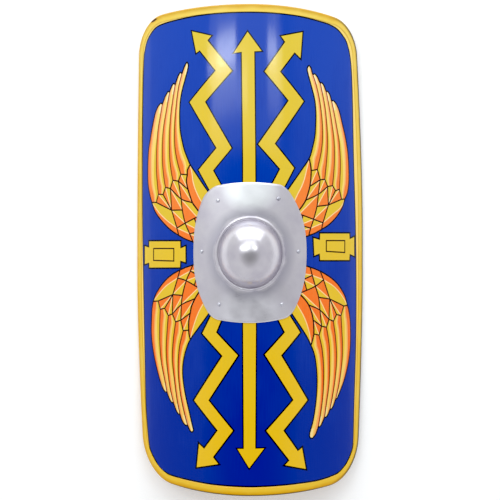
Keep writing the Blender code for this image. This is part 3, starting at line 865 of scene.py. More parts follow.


# Each paint with its lighter top tone, painted light, and its full tone.
paint_materials = {
    "blue": brush_paint("ultramarine oil paint, brushed", "2248b0", "022c9a"),
    "yellow": brush_paint("golden ochre oil paint, brushed", "dcc244", "eabe28"),
    "orange": brush_paint("orange oil paint, brushed", "f28e44", "f66c1a"),
    "apricot": brush_paint("apricot oil paint, brushed", "f4b47c", "f4a85c"),
    "straw": brush_paint("straw yellow oil paint, brushed", "f6d878", "f8cc62"),
    "cream": brush_paint("cream oil paint, brushed", "fce4b0", "fbdc90"),
    "ink": brush_paint("lamp black oil paint, brushed in lines", "08080e", "050508"),
    "umber": brush_paint("burnt umber oil paint, brushed in lines", "340c08", "240804"),
    "sienna": brush_paint("raw sienna oil paint, brushed in lines", "8c3c18", "5a1c0a"),
}
print("paints:", ", ".join(material.name for material in paint_materials.values()))

# %% [markdown]
# The back is bare birch ply with a thin brown oil, and the sawn edge took more of it and is darker. Grain
# runs up the board: lines under a millimetre wide, some centimetres long, in the broad flame of a
# rotary-cut sheet.

# %% Bare wood
GRAIN_LINE = 0.0008
GRAIN_LENGTH = 60.0
FLAME = 0.035
FLAME_LENGTH = 6.0
RINGS = 14.0                # how often light and dark wood change over the flame
PORE_ENDS = (0.55, 0.75)    # the pores are where their noise is high
PORE_DARKNESS = 0.8
PORE_DEPTH = 0.00012
PORE_RELIEF = 0.5
WOOD_SPREAD = (0.06, 0.10)  # how much smoother and rougher the wood is from place to place
WOOD_IOR = 1.5


def oiled_wood(name, light, dark, pore, along=1, roughness=0.5, flame=FLAME):
    """Oiled wood: long fine pores over a broad flame, with the grain along one axis of the layout."""
    material, tree, shader, flat = new_material(name)
    patterns = []
    for width, length in ((GRAIN_LINE, GRAIN_LENGTH), (flame, FLAME_LENGTH)):
        stretch = [length if axis == along else 1.0 for axis in range(3)]
        patterns.append(grain(tree, flat, width, 3.0, stretch))
    pores, figure = patterns
    rings = add(tree, "ShaderNodeMath", (figure, RINGS), operation="MULTIPLY")
    rings = add(tree, "ShaderNodeMath", (rings,), operation="SINE")
    rings = add(tree, "ShaderNodeMapRange", (rings, -1.0, 1.0, 0.0, 1.0))
    in_pores = add(tree, "ShaderNodeMapRange", (pores, *PORE_ENDS, 0.0, PORE_DARKNESS))
    tone = layered(tree, linear(light), [(rings, linear(dark)), (in_pores, linear(pore))])
    smoother, rougher = WOOD_SPREAD
    rough = add(tree, "ShaderNodeMapRange", (pores, *NOISE_ENDS, roughness - smoother, roughness + rougher))
    bump = add(tree, "ShaderNodeBump", {"Height": pores, "Distance": PORE_DEPTH, "Strength": PORE_RELIEF})
    feed(tree, shader, {"Base Color": tone, "Roughness": rough, "IOR": WOOD_IOR, "Normal": bump})
    return material


ply_back = oiled_wood("birch plywood, oiled", "b98a54", "a87a46", "7c5630")
ply_edge = oiled_wood("birch plywood edge, sawn and oiled", "9c7040", "6e4a26", "4c3018", flame=0.006)
print("wood:", ply_back.name, "and", ply_edge.name)

# %% [markdown]
# The board itself: the painted front is the flat arrangement, the back is the same outline, and between
# them come a chamfer, the sawn edge and the wall of the hand hole, which was sawn straight through. Every
# point is placed flat, given its layout as an attribute, and then bent. The front's normals are those of
# the true curve.

# %% Rings of faces and finished meshes


def join_rings(bm, ring, following, turned_over=False, slot=0):
    """A strip of faces between two closed rings of points."""
    for index in range(len(ring)):
        after = (index + 1) % len(ring)
        corners = (ring[index], ring[after], following[after], following[index])
        face = bm.faces.new(corners[::-1] if turned_over else corners)
        face.material_index = slot


def as_mesh(name, bm, *materials):
    """A finished bmesh as a mesh with its materials."""
    mesh = bpy.data.meshes.new(name)
    bm.to_mesh(mesh)
    bm.free()
    for material in materials:
        mesh.materials.append(material)
    return mesh


# %% Build the painted board
BACK_SLOT = len(PAINTS)
EDGE_SLOT = BACK_SLOT + 1
MERGE = 0.00003


def hole_at(depth):
    """The hand hole's outline where its straight wall meets the board at a depth."""
    loop = []
    for step in range(HAND_HOLE_STEPS):
        turn = 2 * math.pi * step / HAND_HOLE_STEPS
        reach = FACE_RADIUS - depth
        s = FACE_RADIUS * math.asin(HAND_HOLE[0] * math.cos(turn) / reach)
        loop.append(Vector((s, BOSS_T + HAND_HOLE[1] * math.sin(turn))))
    return loop


def add_sheet(bm, places, faces, depth, slots, turned_over=False):
    """Adds a flat arrangement at a depth of the board."""
    used = sorted({index for face in faces for index in face})
    verts = {index: bm.verts.new((places[index].x, places[index].y, -depth)) for index in used}
    for face, slot in zip(faces, slots):
        corners = [verts[index] for index in face]
        made = bm.faces.new(corners[::-1] if turned_over else corners)
        made.material_index = slot


def board_side():
    """The board's chamfers and sawn edge, cut along the bend lines."""
    section = (
        (BOARD_INSET + BOARD_CHAMFER, 0.0),
        (BOARD_INSET, BOARD_CHAMFER),
        (BOARD_INSET, BOARD_THICKNESS - BOARD_CHAMFER),
        (BOARD_INSET + BOARD_CHAMFER, BOARD_THICKNESS),
    )
    side = bmesh.new()
    rings = []
    for inset, depth in section:
        rings.append([side.verts.new((p.x, p.y, -depth)) for p in moved_in(shield_loop, inset)])
    for ring, following in zip(rings, rings[1:]):
        join_rings(side, ring, following, turned_over=True, slot=EDGE_SLOT)
    count = int(HALF_ARC / BEND_STRIP)
    for index in range(-count, count + 1):
        bmesh.ops.bisect_plane(
            side, geom=side.verts[:] + side.edges[:] + side.faces[:], dist=MERGE / 10,
            plane_co=(index * BEND_STRIP, 0, 0), plane_no=(1, 0, 0))
    return as_mesh("side", side)


def make_painted_board():
    """The board in the flat layout: its two faces, its side and the wall of the hand hole."""
    front = arrangement([board_loop, hole_at(0.0)], painted)
    back = arrangement([board_loop, hole_at(BOARD_THICKNESS)], [])
    bm = bmesh.new()
    slots = [PAINTS.index(painted[shape][0]) if shape >= 0 else 0 for shape in front[2]]
    add_sheet(bm, front[0], front[1], 0.0, slots)
    add_sheet(bm, back[0], back[1], BOARD_THICKNESS, [BACK_SLOT] * len(back[1]), turned_over=True)
    side = board_side()
    bm.from_mesh(side)
    bpy.data.meshes.remove(side)
    bmesh.ops.remove_doubles(bm, verts=bm.verts[:], dist=MERGE)
    open_edges = [edge for edge in bm.edges if edge.is_boundary]
    near = [edge for edge in open_edges if max(abs(v.co.x) for v in edge.verts) < 2 * HAND_HOLE[0]
            and max(abs(v.co.y - BOSS_T) for v in edge.verts) < 2 * HAND_HOLE[1]]
    print("open edges", len(open_edges), "of which round the hand hole", len(near))
    walls = bmesh.ops.bridge_loops(bm, edges=near)["faces"]
    for face in walls:
        face.material_index = EDGE_SLOT
    bmesh.ops.triangulate(bm, faces=[face for face in bm.faces if len(face.verts) > 3])
    return bm


board_bm = make_painted_board()
print("board:", len(board_bm.faces), "triangles")

# %% Bend the board and place it


def bent_mesh(name, bm, *materials):
    """Turns a bmesh in the flat layout into a bent mesh that keeps its layout as an attribute."""
    mesh = as_mesh(name, bm, *materials)
    flat = mesh.attributes.new("flat", "FLOAT_VECTOR", "POINT")
    for vert, kept in zip(mesh.vertices, flat.data):
        kept.vector = (vert.co.x, vert.co.y, vert.co.z)
        vert.co = bend(vert.co.x, vert.co.y, -vert.co.z)
    return mesh


def place_piece(name, mesh, slot, *nodes):
    """Puts a finished piece in the scene, on the root body, and hides the parts that it stands for; its
    slot is not used.
    """
    piece = put_in_scene(name, mesh)
    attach(piece, "root")
    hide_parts(*nodes)
    print(name, "has", sum(len(face.vertices) - 2 for face in mesh.polygons), "triangles")
    return piece


board_paints = [paint_materials[paint] for paint in PAINTS]
board_mesh = bent_mesh("painted_board", board_bm, *board_paints, ply_back, ply_edge)
board_mesh.shade_smooth()
corner_normals = []
flat_layout = board_mesh.attributes["flat"].data
for face in board_mesh.polygons:
    for corner in face.vertices:
        straight_out = out_of_face(flat_layout[corner].vector[0])
        if face.material_index < BACK_SLOT:
            corner_normals.append(straight_out)
        elif face.material_index == BACK_SLOT:
            corner_normals.append(-straight_out)
        else:
            corner_normals.append(face.normal.copy())
board_mesh.normals_split_custom_set(corner_normals)
painted_board = place_piece("painted_board", board_mesh, "painted_board", "board")

# %% [markdown]
# The edging is a strip of wetted rawhide folded over the board's edge and painted golden ochre once it
# had dried hard. It is one section carried all the way round the outline, so Geometry Nodes does it: the
# outline as a curve, the section as its profile, and the bend round the shield's axis at the end.

# %% Shared parts of the node trees


def new_tree(name, inputs):
    """An empty geometry tree with named inputs, and its two end nodes."""
    tree = bpy.data.node_groups.new(name, "GeometryNodeTree")
    tree.interface.new_socket("Geometry", in_out="INPUT", socket_type="NodeSocketGeometry")
    for label, kind, value in inputs:
        socket = tree.interface.new_socket(label, in_out="INPUT", socket_type=kind)
        if value is not None:
            socket.default_value = value
    tree.interface.new_socket("Geometry", in_out="OUTPUT", socket_type="NodeSocketGeometry")
    return tree, add(tree, "NodeGroupInput").outputs, add(tree, "NodeGroupOutput")


def made_by_tree(name, start, tree, values):
    """Runs a tree over a starting mesh and gives its result as a plain mesh."""
    carrier = put_in_scene(name + " start", start)
    modifier = carrier.modifiers.new(tree.name, "NODES")
    modifier.node_group = tree
    for item in tree.interface.items_tree:
        if item.in_out == "INPUT" and item.name in values:
            modifier[item.identifier] = values[item.name]
    carrier.update_tag()
    evaluated = carrier.evaluated_get(bpy.context.evaluated_depsgraph_get())
    mesh = bpy.data.meshes.new_from_object(evaluated)
    mesh.name = name
    carrier.modifiers.clear()
    bpy.data.objects.remove(carrier)
    return mesh


def finish_tree(tree, made, finish, result):
    """Ends a tree: its instances become real, and the piece gets its finish."""
    real = add(tree, "GeometryNodeRealizeInstances", {"Geometry": made})
    coated = add(tree, "GeometryNodeSetMaterial", {"Geometry": real, "Material": finish})
    feed(tree, result, {"Geometry": coated})


def line_mesh(name, points, closed=True):
    """A mesh that is only a line of edges."""
    mesh = bpy.data.meshes.new(name)
    pairs = [(index, index + 1) for index in range(len(points) - 1)]
    if closed:
        pairs.append((len(points) - 1, 0))
    mesh.from_pydata([tuple(point) for point in points], pairs, [])
    return mesh


# %% The edging's section
ROUND_STEPS = 10
LIP = 0.0004                # the small chamfer on the strip's two long edges
FRONT_SHARES = (0.7, 0.35)  # points across the front leg, so that the fold's tones have a place to change


def edging_section():
    """The folded strip's section as (inset from the outline, depth), once round its wall."""
    front = -EDGING_PROUD
    back = BOARD_THICKNESS + EDGING_PROUD
    section = [(EDGING_FRONT, -GAP), (EDGING_FRONT, front + LIP), (EDGING_FRONT - LIP, front)]
    section += [(EDGING_CURVE + (EDGING_FRONT - EDGING_CURVE) * share, front) for share in FRONT_SHARES]
    fold = []
    for step in range(ROUND_STEPS + 1):
        angle = math.pi / 2 * step / ROUND_STEPS
        fold.append((EDGING_CURVE * (1 - math.cos(angle)), EDGING_CURVE * (1 - math.sin(angle))))
    section += [(inset, front + depth) for inset, depth in reversed(fold)]
    section += [(inset, back - depth) for inset, depth in fold]
    section += [
        (EDGING_WIDTH - LIP, back),
        (EDGING_WIDTH, back - LIP),
        (EDGING_WIDTH, BOARD_THICKNESS + GAP),
        (EDGING_WALL + BOARD_CHAMFER, BOARD_THICKNESS + GAP),
        (EDGING_WALL, BOARD_THICKNESS + GAP - BOARD_CHAMFER),
        (EDGING_WALL, BOARD_CHAMFER - GAP),
        (EDGING_WALL + BOARD_CHAMFER, -GAP),
    ]
    return section


# %% [markdown]
# The hide was painted by hand, so its coat isn't even. Over the outer fold it is painted a darker tone, as
# painted shade where the fold turns away from the light, and along the right side and the lower end the
# fold is painted darker still, as painted shade on the edge's shadowed side. Near the top every tone is
# painted lighter, as painted light. At one corner the coat is chipped off, and the dark hide shows.

# %% Painted rawhide
CHIP_ENDS = (on_face((151.3, 22.6)), on_face((157.8, 18.4)))
CHIP_HALF_WIDTH = 0.0024
FOLD_SHADE_ENDS = (0.0040, 0.0115)        # insets between which the painted shade over the outer fold ends
FOLD_SHADE_RAGGED = (0.030, 0.0012)         # how long and how deep the ragged steps of that painted shade's end are
SIDE_FOLD_SHADE = (0.0050, 0.0078)       # insets between which the deeper painted shade in the fold ends, along the right side
END_FOLD_SHADE = (0.0017, 0.0040)        # and along the lower end
DEEP_FOLD_SHADE = (                            # axis, places between which the deeper painted shade sets in, and its insets
    ("X", (0.18, 0.25), SIDE_FOLD_SHADE),
    ("Y", (-0.50, -0.515), END_FOLD_SHADE),
)
DEEP_FOLD_SHADE_STRENGTH = 0.95
DEEP_FOLD_SHADE_TONE = "3a3210"
HIDE_TONES = (("ebcc5c", "eac03a"), ("cba02c", "d8a014"))   # the coat and the darker fold tone, painted shade; each as its lighter top tone, painted light, and its full tone
BARE_HIDE = ("2a1408", "5c2c14")
HIDE_GRAIN = 0.0012
HIDE_ROUGHNESS = (0.34, 0.46)
COAT_PATCHES = (-0.2, 0.5)          # how far the patches shift the tone
COAT_MARK_LENGTH = 12.0             # of the brush marks, times their width
COAT_HEIGHT = 0.00004
COAT_RELIEF = 0.8
CHIP_DEPTH = 6.0                    # in brush marks
CHIP_ENDS_AT = (0.85, 1.05)         # the chip's edge, as shares of its size
CHIP_RAGGED = (0.003, 0.25)         # how long its ragged steps are, and how deep as a share of its size


def chipped(tree, flat):
    """Where the chip is: 1 on the bare hide, 0 on the coat, with a ragged edge."""
    along = CHIP_ENDS[1] - CHIP_ENDS[0]
    middle = (CHIP_ENDS[0] + CHIP_ENDS[1]) / 2
    offset = add(tree, "ShaderNodeVectorMath", (flat, (middle.x, middle.y, 0.0)), operation="SUBTRACT")
    half_length = along.length / 2
    along.normalize()
    lengthwise = (along.x / half_length, along.y / half_length, 0.0)
    crosswise = (-along.y / CHIP_HALF_WIDTH, along.x / CHIP_HALF_WIDTH, 0.0)
    reaches = [add(tree, "ShaderNodeVectorMath", (offset, axis), operation="DOT_PRODUCT").outputs["Value"]
               for axis in (lengthwise, crosswise)]
    sized = add(tree, "ShaderNodeCombineXYZ", reaches)
    far = add(tree, "ShaderNodeVectorMath", (sized,), operation="LENGTH").outputs["Value"]
    steps = grain(tree, flat, CHIP_RAGGED[0], 3.0)
    ragged = add(tree, "ShaderNodeMapRange", (steps, *NOISE_ENDS, -CHIP_RAGGED[1], CHIP_RAGGED[1]))
    far = add(tree, "ShaderNodeMath", (far, ragged), operation="ADD")
    return add(tree, "ShaderNodeMapRange", (far, *CHIP_ENDS_AT, 1.0, 0.0))


def painted_rawhide():
    """Rawhide, brushed with golden ochre: painted darker over the fold as painted shade, chipped bare at
    one corner.
    """
    material, tree, shader, flat = new_material("rawhide, painted golden ochre")
    inset = add(tree, "ShaderNodeAttribute", attribute_name="inset").outputs["Fac"]
    marks = grain(tree, flat, BRUSH_MARK, 2.0, (1.0, COAT_MARK_LENGTH, 1.0))
    patches = grain(tree, flat, PATCH, 4.0)
    parts = add(tree, "ShaderNodeSeparateXYZ", (flat,)).outputs
    uneven = add(tree, "ShaderNodeMapRange", (patches, *NOISE_ENDS, *COAT_PATCHES))
    # Lighter towards the top: painted light.
    top_light_share = add(tree, "ShaderNodeMapRange", (parts["Y"], TOP_LIGHT_FROM, FULL_FROM, 0.0, 1.0))
    share = add(tree, "ShaderNodeMath", (uneven, top_light_share), operation="ADD", use_clamp=True)
    # The coat, and the darker tone of the fold, which is painted shade.
    coat, thin = [layered(tree, linear(lit_top_tone), [(share, linear(full))]) for lit_top_tone, full in HIDE_TONES]
    steps = grain(tree, flat, FOLD_SHADE_RAGGED[0], 2.0)
    ragged = add(tree, "ShaderNodeMapRange", (steps, *NOISE_ENDS, -FOLD_SHADE_RAGGED[1], FOLD_SHADE_RAGGED[1]))
    reach = add(tree, "ShaderNodeMath", (inset, ragged), operation="ADD")
    layers = [(add(tree, "ShaderNodeMapRange", (reach, *FOLD_SHADE_ENDS, 1.0, 0.0)), thin)]
    # Darker still in the fold along the right side and the lower end: painted shade.
    for axis, ends, fold in DEEP_FOLD_SHADE:
        where = add(tree, "ShaderNodeMapRange", (parts[axis], *ends, 0.0, DEEP_FOLD_SHADE_STRENGTH))
        in_fold = add(tree, "ShaderNodeMapRange", (inset, *fold, 1.0, 0.0))
        deep_fold_shade = add(tree, "ShaderNodeMath", (in_fold, where), operation="MULTIPLY")
        layers.append((deep_fold_shade, linear(DEEP_FOLD_SHADE_TONE)))
    bare = chipped(tree, flat)
    spots = grain(tree, flat, HIDE_GRAIN, 3.0)
    layers.append((bare, layered(tree, linear(BARE_HIDE[0]), [(spots, linear(BARE_HIDE[1]))])))
    tone = layered(tree, coat, layers)
    rough = add(tree, "ShaderNodeMapRange", (patches, *NOISE_ENDS, *HIDE_ROUGHNESS))
    lift = add(tree, "ShaderNodeMath", (bare, -CHIP_DEPTH, marks), operation="MULTIPLY_ADD")
    bump = add(tree, "ShaderNodeBump", {"Height": lift, "Distance": COAT_HEIGHT, "Strength": COAT_RELIEF})
    feed(tree, shader, {"Base Color": tone, "Roughness": rough, "IOR": PAINT_IOR, "Normal": bump})
    return material


edging_material = painted_rawhide()
print("edging:", edging_material.name)

# %% Edging tree
edging_tree, given, result = new_tree("edging round the outline", (
    ("Section", "NodeSocketObject", None), ("Face radius", "NodeSocketFloat", FACE_RADIUS),
    ("Axis drop", "NodeSocketFloat", AXIS_DROP), ("Finish", "NodeSocketMaterial", None)))
path = add(edging_tree, "GeometryNodeMeshToCurve", {"Mesh": given["Geometry"]})
path = add(edging_tree, "GeometryNodeSetCurveNormal", {"Curve": path}, mode="Z_UP")
section_info = add(edging_tree, "GeometryNodeObjectInfo", {"Object": given["Section"]})
section_curve = add(edging_tree, "GeometryNodeMeshToCurve", {"Mesh": section_info.outputs["Geometry"]})
swept = add(edging_tree, "GeometryNodeCurveToMesh", {"Curve": path, "Profile Curve": section_curve})
place = add(edging_tree, "GeometryNodeInputPosition").outputs["Position"]
layout = {"Geometry": swept, "Name": "flat", "Value": place}
kept = add(edging_tree, "GeometryNodeStoreNamedAttribute", layout, data_type="FLOAT_VECTOR", domain="POINT")
parts = add(edging_tree, "ShaderNodeSeparateXYZ", (place,)).outputs
angle = add(edging_tree, "ShaderNodeMath", (parts["X"], given["Face radius"]), operation="DIVIDE")
reach = add(edging_tree, "ShaderNodeMath", (parts["Z"], given["Face radius"]), operation="ADD")
turned = []
for function in ("SINE", "COSINE"):
    share = add(edging_tree, "ShaderNodeMath", (angle,), operation=function)
    turned.append(add(edging_tree, "ShaderNodeMath", (reach, share), operation="MULTIPLY"))
up = add(edging_tree, "ShaderNodeMath", (turned[1], given["Axis drop"]), operation="SUBTRACT")
up = add(edging_tree, "ShaderNodeMath", (up, 0.0), operation="MAXIMUM")
bent_place = add(edging_tree, "ShaderNodeCombineXYZ", (turned[0], parts["Y"], up))
bent = add(edging_tree, "GeometryNodeSetPosition", {"Geometry": kept, "Position": bent_place})
finish_tree(edging_tree, bent, given["Finish"], result)
print("the edging's tree has", len(edging_tree.nodes), "nodes")

# %% Build the edging
section_places = edging_section()
section_line = line_mesh("edging section", [(-inset, depth, 0.0) for inset, depth in section_places])
insets = section_line.attributes.new("inset", "FLOAT", "POINT").data
insets.foreach_set("value", [place[0] for place in section_places])
section_object = put_in_scene("edging section", section_line)
outline_line = line_mesh("outline", [(p.x, p.y, 0.0) for p in shield_loop])
edging_mesh = made_by_tree("edging", outline_line, edging_tree, {
    "Section": section_object, "Face radius": FACE_RADIUS, "Axis drop": AXIS_DROP,
    "Finish": edging_material})
bpy.data.objects.remove(section_object)


def tidy_normals(mesh, sharp_degrees=40.0):
    """Merges doubled points, turns every face outwards and marks the sharp edges."""
    bm = bmesh.new()
    bm.from_mesh(mesh)
    bmesh.ops.remove_doubles(bm, verts=bm.verts[:], dist=MERGE / 10)
    bmesh.ops.recalc_face_normals(bm, faces=bm.faces[:])
    bm.to_mesh(mesh)
    bm.free()
    mesh.shade_smooth()
    mesh.set_sharp_from_angle(angle=math.radians(sharp_degrees))


tidy_normals(edging_mesh)
edging = place_piece("edging", edging_mesh, "edging", "rim_edging")

# %% [markdown]
# The boss was raised from one steel sheet: a flange bent to the board's curve, a narrow bead round the
# foot of the dome, and the dome itself. It is drawn as rings from the flange's outline in to the crown.
# The dome's height is added straight up, since the boss was hammered over a level stake.

# %% Boss sizes
PLATE = 0.0015
PLATE_TOP = GAP + PLATE
FLANGE_HALF_ARC = 0.1242
FLANGE_HALF_HEIGHT = 0.1500
FLANGE_POWER = 2.4
FLANGE_CORNERS = (          # the same for the plate's corners
    (0.012, 0.0555, 0.018),
    (0.022, 0.0410, 0.021),
    (0.012, 0.0490, 0.021),
    (0.012, 0.0465, 0.026),
)
DOME_HALF_ARC = 0.0765
DOME_HALF_HEIGHT = 0.0812
DOME_HEIGHT = 0.058
DOME_T = BOSS_T - 0.0028             # the dome was raised a little below the plate's middle
BEAD_WIDTH = 0.0086
BEAD_HEIGHT = 0.0030
BEAD_TURN = 135                     # degrees of the bead's round, before it runs into the dome
PLATE_EASE = 0.0003
FLANGE_RINGS = 20
BEAD_RINGS = 8
DOME_RINGS = 26
print("plate", round(2000 * FLANGE_HALF_HEIGHT), "mm tall, dome", round(1000 * DOME_HEIGHT), "mm high")

# %% [markdown]
# The boss is mild steel, planished over a stake and scoured with sand. That gives faint hammer facets, fine
# scratches, and a thin grey bloom where the cloth didn't reach. A darker grey ring round the dome's foot is
# painted shade in the angle between dome and flange. The dome was rubbed bright towards its crown, and two
# patches of the flange, near its top and bottom, are painted brighter as painted highlights.

# %% Hammered steel
FOOT_SHADE_RING = (0.97, 1.05, 1.30)     # where the painted shade round the dome's foot starts, is full and ends
FOOT_SHADE_STRENGTH = 0.55
FOOT_SHADE_RAGGED = 0.06
FOOT_SHADE_TONE = "a2a0ae"
BLOOM_SIZE = 0.045
FACET_SIZE = 0.020
SCRATCH_LENGTH = 40.0               # times its width
SCRATCH_SHARE = 0.03                # its depth, as a share of a facet's
FACET_DEPTH = 0.0003
FACET_RELIEF = 0.2
STEEL_SPREAD = (0.05, 0.08)         # how much smoother and rougher the bloom makes it
FINE_SPREAD = (-0.03, 0.04)         # and the scratches
DOME_FROM = (0.004, 0.012)          # heights between which the polish of the dome begins
CROWN_FROM = (0.014, 0.046)         # and those over which it brightens from its foot to its crown
FOOT_ROUGHNESS = 0.38
HIGHLIGHT_PATCHES = (                         # painted highlights: height above the boss's middle, half size, tone
    (0.130, (0.058, 0.042), "f6f8fa"),
    (-0.135, (0.085, 0.055), "e8e6ec"),
)
HIGHLIGHT_PATCH_EDGE = (0.55, 1.15)         # where a painted highlight fades out, in half sizes


def far_out(tree, flat, up, half_size):
    """How far a place lies from a middle at a height of the layout, in half sizes."""
    offset = add(tree, "ShaderNodeVectorMath", (flat, (0.0, up, 0.0)), operation="SUBTRACT")
    shares = (1 / half_size[0], 1 / half_size[1], 0.0)
    sized = add(tree, "ShaderNodeVectorMath", (offset, shares), operation="MULTIPLY")
    return add(tree, "ShaderNodeVectorMath", (sized,), operation="LENGTH").outputs["Value"]


def boss_wear(tree, flat, tone, rough, bloom, polish):
    """The painted highlight patches, the rubbed dome and the painted shade round its foot, over a tone and
    a roughness.
    """
    height = add(tree, "ShaderNodeSeparateXYZ", (flat,)).outputs["Z"]
    layers = []
    # Brighter patches near the flange's top and bottom: painted highlights.
    for up, half_size, code in HIGHLIGHT_PATCHES:
        far = far_out(tree, flat, BOSS_T + up, half_size)
        layers.append((add(tree, "ShaderNodeMapRange", (far, *HIGHLIGHT_PATCH_EDGE, 1.0, 0.0)), linear(code)))
    on_dome = add(tree, "ShaderNodeMapRange", (height, *DOME_FROM, 0.0, 1.0))
    rubbed = add(tree, "ShaderNodeMapRange", (height, *CROWN_FROM, FOOT_ROUGHNESS, polish))
    rough = add(tree, "ShaderNodeMix", {0: on_dome, 2: rough, 3: rubbed})
    # A darker ring round the dome's foot: painted shade.
    far = far_out(tree, flat, DOME_T, (DOME_HALF_ARC, DOME_HALF_HEIGHT))
    uneven = add(tree, "ShaderNodeMapRange", (bloom, *NOISE_ENDS, -FOOT_SHADE_RAGGED, FOOT_SHADE_RAGGED))
    far = add(tree, "ShaderNodeMath", (far, uneven), operation="ADD")
    rising = add(tree, "ShaderNodeMapRange", (far, *FOOT_SHADE_RING[:2], 0.0, 1.0))
    falling = add(tree, "ShaderNodeMapRange", (far, *FOOT_SHADE_RING[1:], 1.0, 0.0))
    ring = add(tree, "ShaderNodeMath", (rising, falling), operation="MULTIPLY")
    ring = add(tree, "ShaderNodeMath", (ring, FOOT_SHADE_STRENGTH), operation="MULTIPLY")
    layers.append((ring, linear(FOOT_SHADE_TONE)))
    return layered(tree, tone, layers), rough


def worked_steel(name, light, dark, roughness, polish=None, scratch=0.0004):
    """Planished and scoured steel: faint hammer facets, fine scratches and a thin grey bloom."""
    material, tree, shader, flat = new_material(name)
    scratches = grain(tree, flat, scratch, 2.0, (SCRATCH_LENGTH, 1.0, 1.0))
    bloom = grain(tree, flat, BLOOM_SIZE, 5.0)
    facets = grain(tree, flat, FACET_SIZE, 1.0)
    clouds = add(tree, "ShaderNodeMapRange", (bloom, *NOISE_ENDS, 0.0, 1.0))
    tone = layered(tree, linear(light), [(clouds, linear(dark))])
    smoother, rougher = STEEL_SPREAD
    rough = add(tree, "ShaderNodeMapRange", (bloom, *NOISE_ENDS, roughness - smoother, roughness + rougher))
    if polish:
        tone, rough = boss_wear(tree, flat, tone, rough, bloom, polish)
    fine = add(tree, "ShaderNodeMapRange", (scratches, *NOISE_ENDS, *FINE_SPREAD))
    rough = add(tree, "ShaderNodeMath", (rough, fine), operation="ADD")
    lift = add(tree, "ShaderNodeMath", (scratches, SCRATCH_SHARE, facets), operation="MULTIPLY_ADD")
    bump = add(tree, "ShaderNodeBump", {"Height": lift, "Distance": FACET_DEPTH, "Strength": FACET_RELIEF})
    feed(tree, shader, {"Base Color": tone, "Roughness": rough, "Metallic": 1.0, "Normal": bump})
    return material


boss_steel = worked_steel("mild steel, planished and scoured", "d8d5da", "c6c2cb",
                          roughness=0.33, polish=0.23)
print("boss:", boss_steel.name)

# %% Build the boss


def dome_profile(inner):
    """The boss from the dome's foot to its crown, as (share of the foot's size, height)."""
    foot = DOME_HALF_ARC
    wall = PLATE / foot if inner else 0.0
    low = 0.0 if inner else BEAD_HEIGHT / 3
    crown = DOME_HEIGHT - (PLATE if inner else 0.0)
    profile = []
    if not inner:
        for step in range(BEAD_RINGS):
            angle = math.radians(BEAD_TURN) * step / (BEAD_RINGS - 1)
            inset = BEAD_WIDTH * (1 - math.cos(angle)) / 2
            profile.append((1 - inset / foot, BEAD_HEIGHT * math.sin(angle)))
    for step in range(DOME_RINGS):
        angle = math.pi / 2 * step / DOME_RINGS
        share = (1 - BEAD_WIDTH / foot - wall) * math.cos(angle)
        profile.append((share, low + (crown - low) * math.sin(angle)))
    return profile + [(0.0, crown)]


def dome_place(share, turn):
    """A place on the boss, above its middle, at a share of the dome's foot and a turn round it."""
    return Vector((share * DOME_HALF_ARC * math.cos(turn),
                   DOME_T - BOSS_T + share * DOME_HALF_HEIGHT * math.sin(turn)))


def boss_side(bm, depth, inner):
    """One side of the boss, from the flange's outline in to the crown; gives its outer ring."""
    loop = outline(FLANGE_HALF_ARC, FLANGE_HALF_HEIGHT, 0.0, FLANGE_POWER, FLANGE_CORNERS)
    profile = dome_profile(inner)
    foot = profile[0][0]
    turns = [math.atan2(p.y / FLANGE_HALF_HEIGHT, p.x / FLANGE_HALF_ARC) for p in loop]
    rings = []
    ease = 0.0 if inner else PLATE_EASE
    for step in range(FLANGE_RINGS):
        ring = []
        for point, turn in zip(moved_in(loop, ease if step else 0.0), turns):
            near = dome_place(foot, turn)
            place = point.lerp(near, max(0, step - 1) / (FLANGE_RINGS - 1))
            ring.append((*place, 0.0 if step else ease, 0.0))
        rings.append(ring)
    for share, height in profile[:-1]:
        rings.append([(*dome_place(share, turn), 0.0, height) for turn in turns])
    layer = bm.verts.layers.float_vector["flat"]
    made = []
    for ring in rings:
        row = []
        for s, t, drop, height in ring:
            place = bend(s, BOSS_T + t, depth + drop) + Vector((0, 0, height))
            vert = bm.verts.new(place)
            vert[layer] = (s, BOSS_T + t, height)
            row.append(vert)
        made.append(row)
    crown = bm.verts.new(bend(0, DOME_T, depth) + Vector((0, 0, profile[-1][1])))
    crown[layer] = (0, DOME_T, profile[-1][1])
    for row, following in zip(made, made[1:]):
        join_rings(bm, row, following, turned_over=inner)
    for index, vert in enumerate(made[-1]):
        corners = (vert, made[-1][(index + 1) % len(loop)], crown)
        bm.faces.new(corners[::-1] if inner else corners)
    return made[0]


boss_bm = bmesh.new()
boss_bm.verts.layers.float_vector.new("flat")
top_ring = boss_side(boss_bm, -PLATE_TOP, False)
low_ring = boss_side(boss_bm, -GAP, True)
join_rings(boss_bm, top_ring, low_ring, turned_over=True)
boss_mesh = as_mesh("boss_shell", boss_bm, boss_steel)
tidy_normals(boss_mesh, sharp_degrees=50.0)
boss_shell = place_piece("boss_shell", boss_mesh, "boss_steel", "boss")

# %% [markdown]
# Six steel rivets hold the boss. Four go through the plate and the board; the two at the sides are longer
# and hold the grip as well. Their heads were peened and filed, which leaves them smoother and brighter
# than the plate, each with one small highlight. Two turned shapes are made once, and Geometry Nodes sets
# one on each of six points, tilted to the curve of the board.

